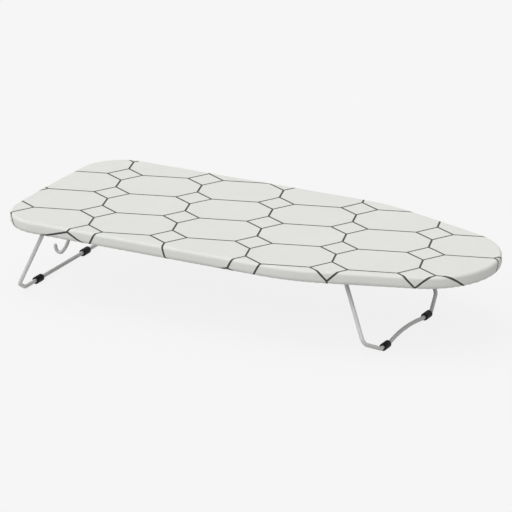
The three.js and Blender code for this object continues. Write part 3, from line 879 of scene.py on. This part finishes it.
def stitch_row(line, outward, sizes):
    """Small stitches along a closed line: each thread arches out of the cloth and dips into it again."""
    step = np.linalg.norm(np.roll(line, -1, axis=0) - line, axis=1).mean()
    every = max(int(round(sizes.stitch_pitch / step)), 2)
    starts = np.arange(0, len(line) - every, every)
    ends = starts + max(every - 1, 1)
    first, last = line[starts], line[ends]
    out = unit(outward[starts] + outward[ends])
    t = np.linspace(0.0, 1.0, STITCH_STEPS + 1)
    arch = (np.sin(math.pi * t) * 1.5 - 0.5) * sizes.stitch
    centre = first[:, None] + (last - first)[:, None] * t[:, None] + out[:, None] * arch[:, None]
    side = np.cross(out, unit(last - first))
    turn = np.arange(STITCH_SIDES) * (2 * math.pi / STITCH_SIDES)
    thick = sizes.stitch / 2 * np.sqrt(np.clip(np.sin(math.pi * t), 0.0, 1.0))
    circle = side[:, None] * np.cos(turn)[:, None] + out[:, None] * np.sin(turn)[:, None]
    return centre[:, :, None] + circle[:, None] * thick[:, None, None]


# Legs and hook

def leg_frame(sizes, end):
    """A leg's axle and the direction in which its plane hangs from it."""
    axle = np.array(pivots[end + "_leg"])
    outward = -1.0 if axle[0] < 0 else 1.0
    return axle, np.array([outward * math.sin(sizes.tilt), 0.0, -math.cos(sizes.tilt)])


def leg_drop(sizes, axle):
    """Length of a leg from its axle to the middle of its foot bar."""
    return (axle[2] - sizes.foot / 2) / math.cos(sizes.tilt)


def leg_path(sizes, end):
    """The middle line of a leg's wire: axle, two arms, sloping shoulders and a foot bar that may arch."""
    axle, down = leg_frame(sizes, end)
    drop = leg_drop(sizes, axle)
    parts = ("axle", "knee", "feet", "rise", "over")
    axle_wide, knee_wide, feet_wide, rise, over = (getattr(sizes, f"{end}_{part}") for part in parts)
    sleeve = sizes.foot_long / 2 + over
    half = [
        (axle_wide / 2, 0.0, sizes.bend),
        (knee_wide / 2, rise - drop, sizes.bend),
        (feet_wide / 2 + sleeve, -drop, sizes.bend),
    ]
    mirror = [(-y, z, bend) for y, z, bend in reversed(half)]
    bar = []
    if end == "nose":
        arch_end = feet_wide / 2 - sleeve
        radius = (arch_end**2 + sizes.nose_arch**2) / (2 * sizes.nose_arch)
        turn = math.asin(arch_end / radius)
        start, stop = math.pi / 2 - turn, math.pi / 2 + turn
        bow = arc(0.0, sizes.nose_arch - radius - drop, radius, start, stop, BEND_STEPS)
        bar = [(y, z, 0) for y, z in bow]
    plane = evened(bent_loop([*half, *bar, *mirror]), WIRE_STEP, closed=True)
    return axle + plane[:, :1] * ACROSS - plane[:, 1:] * down


def hook_path(sizes):
    """The middle line of the hook: an eye round the axle, a neck, a straight shank, three turns and a tip.

    The shank turns back a little, out again and then round the bend. Each turn is an arc that goes on in the
    direction in which the wire arrived, and the shank is as long as the bend's gap to the foot bar leaves it.
    """
    axle = np.array(pivots["hook"])
    wire = sizes.hook_wire / 2
    eye = sizes.wire / 2 + sizes.hook_play + wire
    reach = leg_drop(sizes, axle) - sizes.wire / 2 - sizes.hook_clear - wire - sizes.hook_bend
    lean, tighten = sizes.hook_out - sizes.hook_back, sizes.hook_sway - sizes.hook_bend
    side = sizes.hook_sway * (1 - 2 * math.cos(sizes.hook_back)) + tighten * math.cos(lean)
    drop = 2 * sizes.hook_sway * math.sin(sizes.hook_back) + tighten * math.sin(lean)
    shank = math.sqrt(reach**2 - side**2) - drop
    neck_z = -math.sqrt((eye + sizes.hook_neck) ** 2 - sizes.hook_neck**2)
    leave = math.atan2(neck_z, sizes.hook_neck)
    runs = [
        arc(0.0, 0.0, eye, leave + sizes.hook_wrap, leave, 3 * BEND_STEPS),
        arc(sizes.hook_neck, neck_z, sizes.hook_neck, leave + math.pi, math.pi, BEND_STEPS),
        np.array([[0.0, -shank]]),
    ]
    heading = 0.0
    gentle = [(-sizes.hook_back, sizes.hook_sway), (sizes.hook_out, sizes.hook_sway)]
    for turn, radius in [*gentle, (sizes.hook_turn, sizes.hook_bend)]:
        start = (0.0 if turn > 0 else math.pi) - heading
        centre = runs[-1][-1] - radius * np.array([math.cos(start), math.sin(start)])
        runs.append(arc(*centre, radius, start, start - turn, BEND_STEPS))
        heading += turn
    runs.append(runs[-1][-1:] - sizes.hook_tip * np.array([math.sin(heading), math.cos(heading)]))
    flat = evened(np.concatenate(runs), HOOK_STEP)
    cosine, sine = math.cos(sizes.hook_lean), math.sin(sizes.hook_lean)
    x = flat[:, 0] * cosine + flat[:, 1] * sine
    z = flat[:, 1] * cosine - flat[:, 0] * sine
    return axle + np.stack([x, np.zeros(len(flat)), z], axis=1)


# Operators, one for each piece or group of like pieces

class IRONING_BOARD_OT_add_stage(bpy.types.Operator):
    """Adds the floor, the soft light, the background and the camera"""

    bl_idname = "ironing_board.add_stage"
    bl_label = "Stage"

    def execute(self, context):
        scene = context.scene
        studio = scene.studio
        scene.view_settings.view_transform = "Standard"

        mesh = bpy.data.meshes.new("floor")
        square = ((-1, -1), (1, -1), (1, 1), (-1, 1))
        mesh.from_pydata([(x * FLOOR_REACH, y * FLOOR_REACH, 0.0) for x, y in square], [], [(0, 1, 2, 3)])
        mesh.materials.append(self.floor_paper(studio))
        floor = bpy.data.objects.new("floor", mesh)
        scene.collection.objects.link(floor)

        self.add_world(scene, studio)
        self.add_light(scene, "key_light", studio.key, KEY_HEADING)
        self.add_light(scene, "fill_light", studio.fill, FILL_HEADING)
        self.add_camera(scene, studio)
        return {"FINISHED"}

    def showing(self, tree):
        """1 on the rays that show the background: the camera's own and those that gloss and glass send on."""
        ray = tree.node("ShaderNodeLightPath", output="Is Camera Ray")
        return ray.most(ray.out("Is Glossy Ray")).most(ray.out("Is Transmission Ray"))

    def floor_paper(self, studio):
        """Pale paper that shows its plain colour with a share of its shading, and nothing from below.

        Rays that don't show it meet a darker paper, so that the board's underside gets little light back.
        """
        tree = new_finish("floor_paper")
        shaded = tree.node("ShaderNodeBsdfDiffuse", None, {"Color": studio.backdrop})
        plain = tree.node("ShaderNodeEmission", None, {"Color": studio.backdrop})
        dim = tree.node("ShaderNodeBsdfDiffuse", None, {"Color": scaled(studio.backdrop, studio.bounce)})
        lit = tree.blended(self.showing(tree), dim, tree.blended(studio.shadow, plain, shaded))
        below = tree.node("ShaderNodeNewGeometry", output="Backfacing")
        return tree.finish(tree.blended(below, lit, tree.node("ShaderNodeBsdfTransparent")))

    def add_world(self, scene, studio):
        """Even light from all round; the camera, gloss and glass see the backdrop's own colour."""
        scene.world = bpy.data.worlds.new("studio")
        tree = Tree(scene.world)
        even = {"Color": (1.0, 1.0, 1.0), "Strength": studio.ambient}
        ambient = tree.node("ShaderNodeBackground", None, even)
        backdrop = tree.node("ShaderNodeBackground", None, {"Color": studio.backdrop, "Strength": 1.0})
        sky = tree.blended(self.showing(tree), ambient, backdrop)
        tree.node("ShaderNodeOutputWorld", None, {"Surface": sky})

    def add_light(self, scene, name, strength, heading):
        """A wide soft light that shines along a heading."""
        lamp = bpy.data.lights.new(name, "SUN")
        lamp.energy = strength
        lamp.angle = LIGHT_SPREAD
        light = bpy.data.objects.new(name, lamp)
        light.rotation_euler = Vector(heading).to_track_quat("-Z", "Y").to_euler()
        scene.collection.objects.link(light)

    def add_camera(self, scene, studio):
        """A camera at a distance from its aim, in the direction of the studio's azimuth and elevation."""
        lens = bpy.data.cameras.new("camera")
        lens.sensor_width = FILM_WIDTH
        lens.lens = studio.lens
        lens.clip_end = VIEW_REACH
        camera = bpy.data.objects.new("camera", lens)
        azimuth, elevation = studio.azimuth, studio.elevation
        level = math.cos(elevation)
        right = Vector((math.cos(azimuth), math.sin(azimuth), 0.0))
        back = Vector((math.sin(azimuth) * level, -math.cos(azimuth) * level, math.sin(elevation)))
        aim = Vector((0.0, 0.0, studio.aim_height)) - right * studio.aim_left
        camera.location = aim + back * studio.distance
        camera.rotation_euler = (-back).to_track_quat("-Z", "Y").to_euler()
        scene.collection.objects.link(camera)
        scene.camera = camera


class IRONING_BOARD_OT_add_cover(bpy.types.Operator):
    """Adds the printed cotton cover with its rolled, gathered hem, the hem's stitches and its elastic"""

    bl_idname = "ironing_board.add_cover"
    bl_label = "Cover"

    def execute(self, context):
        scene = context.scene
        sizes = scene.board_sizes
        colours = scene.finish_colours
        edge = outline(sizes, COVER_COLUMNS)
        grid, flat = cover_grid(sizes, edge)
        faces = grid_faces(*grid.shape[:2], close_columns=True)
        cotton = printed_cotton(colours, scene.print_sizes)
        cover = add_piece(
            "cover_cloth", grid, faces, cotton, "board", {"flat_cut": flat}, closed=False
        )
        wall = cover.modifiers.new("cloth thickness", "SOLIDIFY")
        wall.thickness = sizes.cloth
        wall.offset = -1.0
        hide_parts("cover")

        sewn = HEM_ROW - 1
        line = grid[sewn]
        ahead = np.roll(line, -1, axis=0) - np.roll(line, 1, axis=0)
        outward = unit(np.cross(ahead, grid[sewn + 1] - grid[sewn - 1]))
        outward *= -np.sign(outward[:, 2:])
        threads = stitch_row(line, outward, sizes)
        faces = many_grids(threads, grid_faces(*threads.shape[1:3], close_columns=True))
        stitches = add_piece("hem_stitches", threads, faces, sewing_thread(colours), "board")

        inset, height = hem_centre(sizes)
        draw, rise = gathers(sizes, edge)
        path = rings(edge, inset + draw, height + rise)[0][::2]
        braid = braided_elastic(colours)
        elastic = add_bar("elastic_loop", path, sizes.elastic / 2, UP, braid, "board", closed=True)
        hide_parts("hem_elastic")

        cut = flat[-1, :, :2]
        ahead = np.roll(cut, -1, axis=0)
        return {"FINISHED"}


class IRONING_BOARD_OT_add_pad(bpy.types.Operator):
    """Adds the foam pad between the cover and the deck"""

    bl_idname = "ironing_board.add_pad"
    bl_label = "Pad"

    def execute(self, context):
        scene = context.scene
        sizes = scene.board_sizes
        edge = outline(sizes, HOOP_COLUMNS)
        points, normals = edge
        round_height = sizes.top - sizes.rounding
        radius = pad_high.z - round_height
        lowest = math.pi - math.asin((pad_low.z - round_height) / radius)
        section = arc(sizes.rounding, round_height, radius, math.pi / 2, lowest, PAD_STEPS)
        side = rings(edge, section[:, :1], section[:, 1:])
        top = spread(sizes, points - normals * sizes.rounding, PAD_PARTS)
        bottom = spread(sizes, points - normals * rim_inset(sizes), [1.0, *reversed(PAD_PARTS)])
        grid = np.concatenate([raised(top, pad_high.z), side, raised(bottom, pad_low.z)])
        faces = grid_faces(*grid.shape[:2], close_columns=True)
        pad = add_piece("foam_layer", grid, faces, open_foam(scene.finish_colours), "board")
        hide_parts("foam_pad")
        return {"FINISHED"}


class IRONING_BOARD_OT_add_deck(bpy.types.Operator):
    """Adds the expanded steel deck: a plain border and the twisted strands of its mesh"""

    bl_idname = "ironing_board.add_deck"
    bl_label = "Deck"

    def execute(self, context):
        scene = context.scene
        sizes, steel = scene.board_sizes, scene.frame_sizes
        coat = powder_coat(scene.finish_colours)
        edge = outline(sizes, HOOP_COLUMNS)
        outer, inner = rim_inset(sizes) - steel.overhang, steel.border
        low, high = deck_low.z, deck_high.z
        section = np.array([
            [outer, low + DECK_BREAK], [outer, high - DECK_BREAK],
            [outer + DECK_BREAK, high], [inner - DECK_BREAK, high],
            [inner, high - DECK_BREAK], [inner, low + DECK_BREAK],
            [inner - DECK_BREAK, low], [outer + DECK_BREAK, low],
        ])
        grid = rings(edge, section[:, :1], section[:, 1:])
        faces = grid_faces(*grid.shape[:2], close_rows=True, close_columns=True)
        border = add_piece("deck_border", grid, faces, coat, "board")
        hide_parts("mesh_deck")

        points, faces = self.ribbons(sizes, steel, edge)
        add_piece("deck_mesh", points, faces, coat, "board")
        return {"FINISHED"}

    def ribbons(self, sizes, steel, edge):
        """Zigzag ribbons of slit and stretched sheet: their points and faces.

        Column by column a ribbon turns at a bond of its own row or of the next row, by turns, and at each
        bond two ribbons lie side by side in the plane that the stretching has tilted. The flat section at a
        turn is mitred to both runs. A run stays where both its ends lie inside the border, and free ends are
        capped.
        """
        half_long, half_wide = steel.strand_long / 2, steel.strand_wide / 2
        last_row = int(sizes.wide / steel.strand_wide) + 1
        last_column = int(sizes.long / steel.strand_long) + 1
        row, column = np.mgrid[-last_row:last_row + 1, -last_column:last_column + 1]
        far = (row + column) % 2
        across = np.array([0.0, math.cos(steel.strand_tilt), math.sin(steel.strand_tilt)])
        through = np.array([0.0, -math.sin(steel.strand_tilt), math.cos(steel.strand_tilt)])
        level = np.full(row.shape, (deck_low.z + deck_high.z) / 2)
        bonds = np.stack([column * half_long, (row + far) * half_wide, level], axis=-1)
        centres = bonds + ((0.5 - far) * steel.strand)[..., None] * across
        mitre = math.hypot(1.0, (half_wide - steel.strand * across[1]) / half_long)
        wide = across * mitre * steel.strand / 2
        thick = through * steel.strand_thick / 2
        section = np.stack([wide + thick, wide - thick, -wide - thick, -wide + thick])
        points = (centres[:, :, None] + section).reshape(-1, 3)

        limit = edge[0] - edge[1] * (steel.border - steel.strand_tuck)
        within = self.inside(centres[..., :2].reshape(-1, 2), limit).reshape(row.shape)
        keep = within[:, :-1] & within[:, 1:]
        corners = len(section)
        first = np.arange(row.size).reshape(row.shape)[:, :-1] * corners
        cap = np.arange(corners)
        runs = first[keep][:, None, None] + grid_faces(2, corners, close_columns=True)
        starts = first[keep & ~np.pad(keep, ((0, 0), (1, 0)))[:, :-1]][:, None] + cap
        ends = first[keep & ~np.pad(keep, ((0, 0), (0, 1)))[:, 1:]][:, None] + cap + corners
        faces = np.concatenate([runs.reshape(-1, corners), starts, ends])
        used, faces = np.unique(faces, return_inverse=True)
        return points[used], faces.reshape(-1, corners)

    def inside(self, points, polygon):
        """Which points lie inside a polygon: a ray from there crosses its sides an odd number of times."""
        first, second = polygon, np.roll(polygon, -1, axis=0)
        x, y = points[:, :1], points[:, 1:]
        spans = (first[:, 1] > y) != (second[:, 1] > y)
        rise = np.where(first[:, 1] == second[:, 1], 1.0, second[:, 1] - first[:, 1])
        crossing = first[:, 0] + (y - first[:, 1]) * (second[:, 0] - first[:, 0]) / rise
        return np.sum(spans & (x < crossing), axis=1) % 2 == 1


class IRONING_BOARD_OT_add_rim(bpy.types.Operator):
    """Adds the rim tube with its butt weld at the tail, and finishes the plug inside it"""

    bl_idname = "ironing_board.add_rim"
    bl_label = "Rim"

    def execute(self, context):
        scene = context.scene
        sizes = scene.board_sizes
        coat = powder_coat(scene.finish_colours)
        path = rings(outline(sizes, HOOP_COLUMNS), rim_inset(sizes), rim_height(sizes))[0]
        bead = butt_bead(path[:, 1], reach=1.8 * MM, rise=0.2 * MM) * (path[:, 0] < 0)
        hoop = add_bar("rim_hoop", path, sizes.rim / 2 + bead, UP, coat, "board", closed=True)
        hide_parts("rim_tube")
        put_on("rim_splice", coat)
        return {"FINISHED"}


class IRONING_BOARD_OT_add_rails(bpy.types.Operator):
    """Finishes the two cross rails and adds the weld beads that join them to the rim"""

    bl_idname = "ironing_board.add_rails"
    bl_label = "Rails"

    def execute(self, context):
        scene = context.scene
        sizes, steel = scene.board_sizes, scene.frame_sizes
        coat = powder_coat(scene.finish_colours)
        points, normals = outline(sizes, COVER_COLUMNS)
        inner = points - normals * (rim_inset(sizes) + sizes.rim / 2)
        near = inner[: COVER_COLUMNS // 2]
        near = near[np.argsort(near[:, 0])]
        for end in ENDS:
            put_on(end + "_rail", coat)
            middle = pivots[end + "_leg"].x
            x = np.linspace(middle - WELD_REACH, middle + WELD_REACH, WELD_STEPS + 1)
            y = -np.interp(x, near[:, 0], near[:, 1])
            path = np.stack([x, y, np.full(len(x), rail_high.z - steel.rail_depth)], axis=1)
            for side, sign in SIDES.items():
                route, radius = domed(path * [1.0, sign, 1.0], steel.weld)
                ripple = 1 + WELD_RIPPLE * np.sin(np.arange(len(route)) * WELD_RIPPLE_TURN)
                add_bar(f"{end}_weld_{side}", route, radius * ripple, UP, coat, "board")
        return {"FINISHED"}


class IRONING_BOARD_OT_add_saddles(bpy.types.Operator):
    """Adds the four straps that hold the legs' axles under the rails"""

    bl_idname = "ironing_board.add_saddles"
    bl_label = "Saddles"

    def execute(self, context):
        scene = context.scene
        steel, legs = scene.frame_sizes, scene.leg_sizes
        coat = powder_coat(scene.finish_colours)
        inner = legs.wire / 2 + scene.board_sizes.gap
        for end, side in product(ENDS, SIDES):
            node = f"{end}_saddle_{side}"
            axle = pivots[end + "_leg"]
            low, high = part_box(node)
            section = self.strap_section(steel, inner, high.z - axle.z)
            x, z = axle.x + section[:, 0], axle.z + section[:, 1]
            edges = (low.y + high.y) / 2 + np.array([-0.5, 0.5]) * steel.saddle_long
            grid = np.stack([np.stack([x, np.full(len(x), y), z], axis=1) for y in edges])
            count = len(section)
            caps = [list(range(count)), list(range(count, 2 * count))]
            faces = grid_faces(2, count, close_columns=True).tolist() + caps
            strap = add_piece(f"{end}_strap_{side}", grid, faces, coat, "board")
            bevel = strap.modifiers.new("broken edges", "BEVEL")
            bevel.width = STRAP_BREAK
            bevel.segments = 2
            bevel.angle_limit = SHARP_ANGLE
            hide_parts(node)
        return {"FINISHED"}

    def strap_section(self, steel, inner, top):
        """A strap's section round its axle: two flanges joined by fillets to a half round under the wire."""
        outer = inner + steel.saddle_sheet
        under = top - steel.saddle_sheet
        reach, side, low = steel.saddle_reach, outer + STRAP_FILLET, under - STRAP_FILLET
        return np.concatenate([
            [[-reach, top], [-reach, under]],
            arc(-side, low, STRAP_FILLET, math.pi / 2, 0.0, STRAP_FILLET_STEPS),
            arc(0.0, 0.0, outer, math.pi, 2 * math.pi, STRAP_STEPS),
            arc(side, low, STRAP_FILLET, math.pi, math.pi / 2, STRAP_FILLET_STEPS),
            [[reach, under], [reach, top], [inner, top]],
            arc(0.0, 0.0, inner, 2 * math.pi, math.pi, STRAP_STEPS),
            [[-inner, top]],
        ])


class IRONING_BOARD_OT_add_rivets(bpy.types.Operator):
    """Adds the eight rivets, with domed heads under the straps and flattened tails on the rails"""

    bl_idname = "ironing_board.add_rivets"
    bl_label = "Rivets"

    def execute(self, context):
        scene = context.scene
        steel = scene.frame_sizes
        zinc = zinc_plate(scene.finish_colours)
        for end, side, row in product(ENDS, SIDES, ("outer", "inner")):
            node = f"{end}_rivet_{side}_{row}"
            low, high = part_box(node)
            lathe = turned(self.rivet_section(steel, high.z - low.z))
            lathe += np.array([(low.x + high.x) / 2, (low.y + high.y) / 2, low.z])
            faces = grid_faces(*lathe.shape[:2], close_columns=True)
            rivet = add_piece(f"{end}_{side}_{row}_rivet", lathe, faces, zinc, "board")
            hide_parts(node)
        return {"FINISHED"}

    def rivet_section(self, steel, tall):
        """A rivet's half section from the bottom up: a domed head, a shank and a flattened tail."""
        radius, rise = steel.rivet_head / 2, steel.rivet_rise
        shank = SHANK_PART * radius
        tail, edge = tall - RIVET_TAIL, tall - RIVET_CROWN
        dome = arc(0.0, 0.0, 1.0, -math.pi / 2, 0.0, RIVET_STEPS) * [radius, rise] + [0.0, rise]
        return np.concatenate([dome, [
            [shank, rise],
            [shank, tail],
            [TAIL_BASE_PART * radius, tail],
            [TAIL_EDGE_PART * radius, edge],
            [TAIL_FACE_PART * radius, tall],
            [0.0, tall],
        ]])


class IRONING_BOARD_OT_add_legs(bpy.types.Operator):
    """Adds the two bent wire legs, each with the butt weld on its axle"""

    bl_idname = "ironing_board.add_legs"
    bl_label = "Legs"

    def execute(self, context):
        scene = context.scene
        sizes = scene.leg_sizes
        lacquer = lacquered_wire(scene.finish_colours)
        for end in ENDS:
            leg = end + "_leg"
            path = leg_path(sizes, end)
            axle, down = leg_frame(sizes, end)
            on_axle = np.abs(path[:, 2] - axle[2]) < LEVEL_WITHIN
            bead = butt_bead(path[:, 1] - sizes.seam, reach=1.3 * MM, rise=0.3 * MM) * on_axle
            square = np.cross(ACROSS, down)
            radius = sizes.wire / 2 + bead
            wire = add_bar(leg + "_wire", path, radius, square, lacquer, leg, closed=True)
            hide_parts(leg)
        return {"FINISHED"}


class IRONING_BOARD_OT_add_feet(bpy.types.Operator):
    """Adds the four rubber sleeves on the legs' foot bars"""

    bl_idname = "ironing_board.add_feet"
    bl_label = "Feet"

    def execute(self, context):
        scene = context.scene
        sizes = scene.leg_sizes
        rubber = foot_rubber(scene.finish_colours)
        lathe = turned(self.sleeve_section(sizes))[..., [0, 2, 1]]
        faces = grid_faces(*lathe.shape[:2], close_rows=True, close_columns=True)
        for end in ENDS:
            axle, down = leg_frame(sizes, end)
            bar = axle + down * leg_drop(sizes, axle)
            for side, sign in SIDES.items():
                sleeve = lathe + (bar + ACROSS * sign * getattr(sizes, end + "_feet") / 2)
                foot = add_piece(f"{end}_sleeve_{side}", sleeve, faces, rubber, end + "_leg")
                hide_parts(f"{end}_foot_{side}")
        return {"FINISHED"}

    def sleeve_section(self, sizes):
        """A sleeve's wall from one end to the other: a bore with broken edges and an outside with fillets."""
        bore, outer, half = sizes.wire / 2 + FOOT_PLAY, sizes.foot / 2, sizes.foot_long / 2
        rim, depth, fillet = bore + BORE_BREAK, half - BORE_BREAK_DEPTH, FOOT_FILLET
        return np.concatenate([
            [[bore, -depth], [rim, -half]],
            arc(outer - fillet, fillet - half, fillet, -math.pi / 2, 0.0, FOOT_FILLET_STEPS),
            arc(outer - fillet, half - fillet, fillet, 0.0, math.pi / 2, FOOT_FILLET_STEPS),
            [[rim, half], [bore, depth]],
        ])


class IRONING_BOARD_OT_add_hook(bpy.types.Operator):
    """Adds the hanging hook that swings on the tail leg's axle"""

    bl_idname = "ironing_board.add_hook"
    bl_label = "Hook"

    def execute(self, context):
        scene = context.scene
        sizes = scene.leg_sizes
        path, radius = domed(hook_path(sizes), sizes.hook_wire / 2)
        lacquer = lacquered_wire(scene.finish_colours)
        hook = add_bar("hook_wire", path, radius, ACROSS, lacquer, "hook")
        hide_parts("hook")
        return {"FINISHED"}


class IRONING_BOARD_PT_pieces(bpy.types.Panel):
    """Lists the pieces of the ironing board"""

    bl_idname = "IRONING_BOARD_PT_pieces"
    bl_label = "Ironing Board"
    bl_space_type = "VIEW_3D"
    bl_region_type = "UI"
    bl_category = "Ironing Board"

    def draw(self, context):
        column = self.layout.column(align=True)
        for operator in OPERATORS:
            column.operator(operator.bl_idname)
        for group in SETTINGS:
            box = self.layout.box()
            settings = getattr(context.scene, group)
            for name in settings.__annotations__:
                box.prop(settings, name)


OPERATORS = (
    IRONING_BOARD_OT_add_stage,
    IRONING_BOARD_OT_add_pad,
    IRONING_BOARD_OT_add_deck,
    IRONING_BOARD_OT_add_rim,
    IRONING_BOARD_OT_add_cover,
    IRONING_BOARD_OT_add_rails,
    IRONING_BOARD_OT_add_saddles,
    IRONING_BOARD_OT_add_rivets,
    IRONING_BOARD_OT_add_legs,
    IRONING_BOARD_OT_add_feet,
    IRONING_BOARD_OT_add_hook,
)
SETTINGS = {
    "board_sizes": BoardSizes,
    "print_sizes": PrintSizes,
    "frame_sizes": FrameSizes,
    "leg_sizes": LegSizes,
    "finish_colours": FinishColours,
    "studio": StudioSettings,
}


def register():
    for group in (*SETTINGS.values(), *OPERATORS, IRONING_BOARD_PT_pieces):
        bpy.utils.register_class(group)
    for name, group in SETTINGS.items():
        setattr(bpy.types.Scene, name, PointerProperty(type=group))


def unregister():
    for name in SETTINGS:
        delattr(bpy.types.Scene, name)
    for group in (IRONING_BOARD_PT_pieces, *reversed(OPERATORS), *reversed(SETTINGS.values())):
        bpy.utils.unregister_class(group)


def main():
    register()
    bpy.ops.ironing_board.add_stage()
    bpy.ops.ironing_board.add_pad()
    bpy.ops.ironing_board.add_deck()
    bpy.ops.ironing_board.add_rim()
    bpy.ops.ironing_board.add_cover()
    bpy.ops.ironing_board.add_rails()
    bpy.ops.ironing_board.add_saddles()
    bpy.ops.ironing_board.add_rivets()
    bpy.ops.ironing_board.add_legs()
    bpy.ops.ironing_board.add_feet()
    bpy.ops.ironing_board.add_hook()


if __name__ == "__main__":
    main()
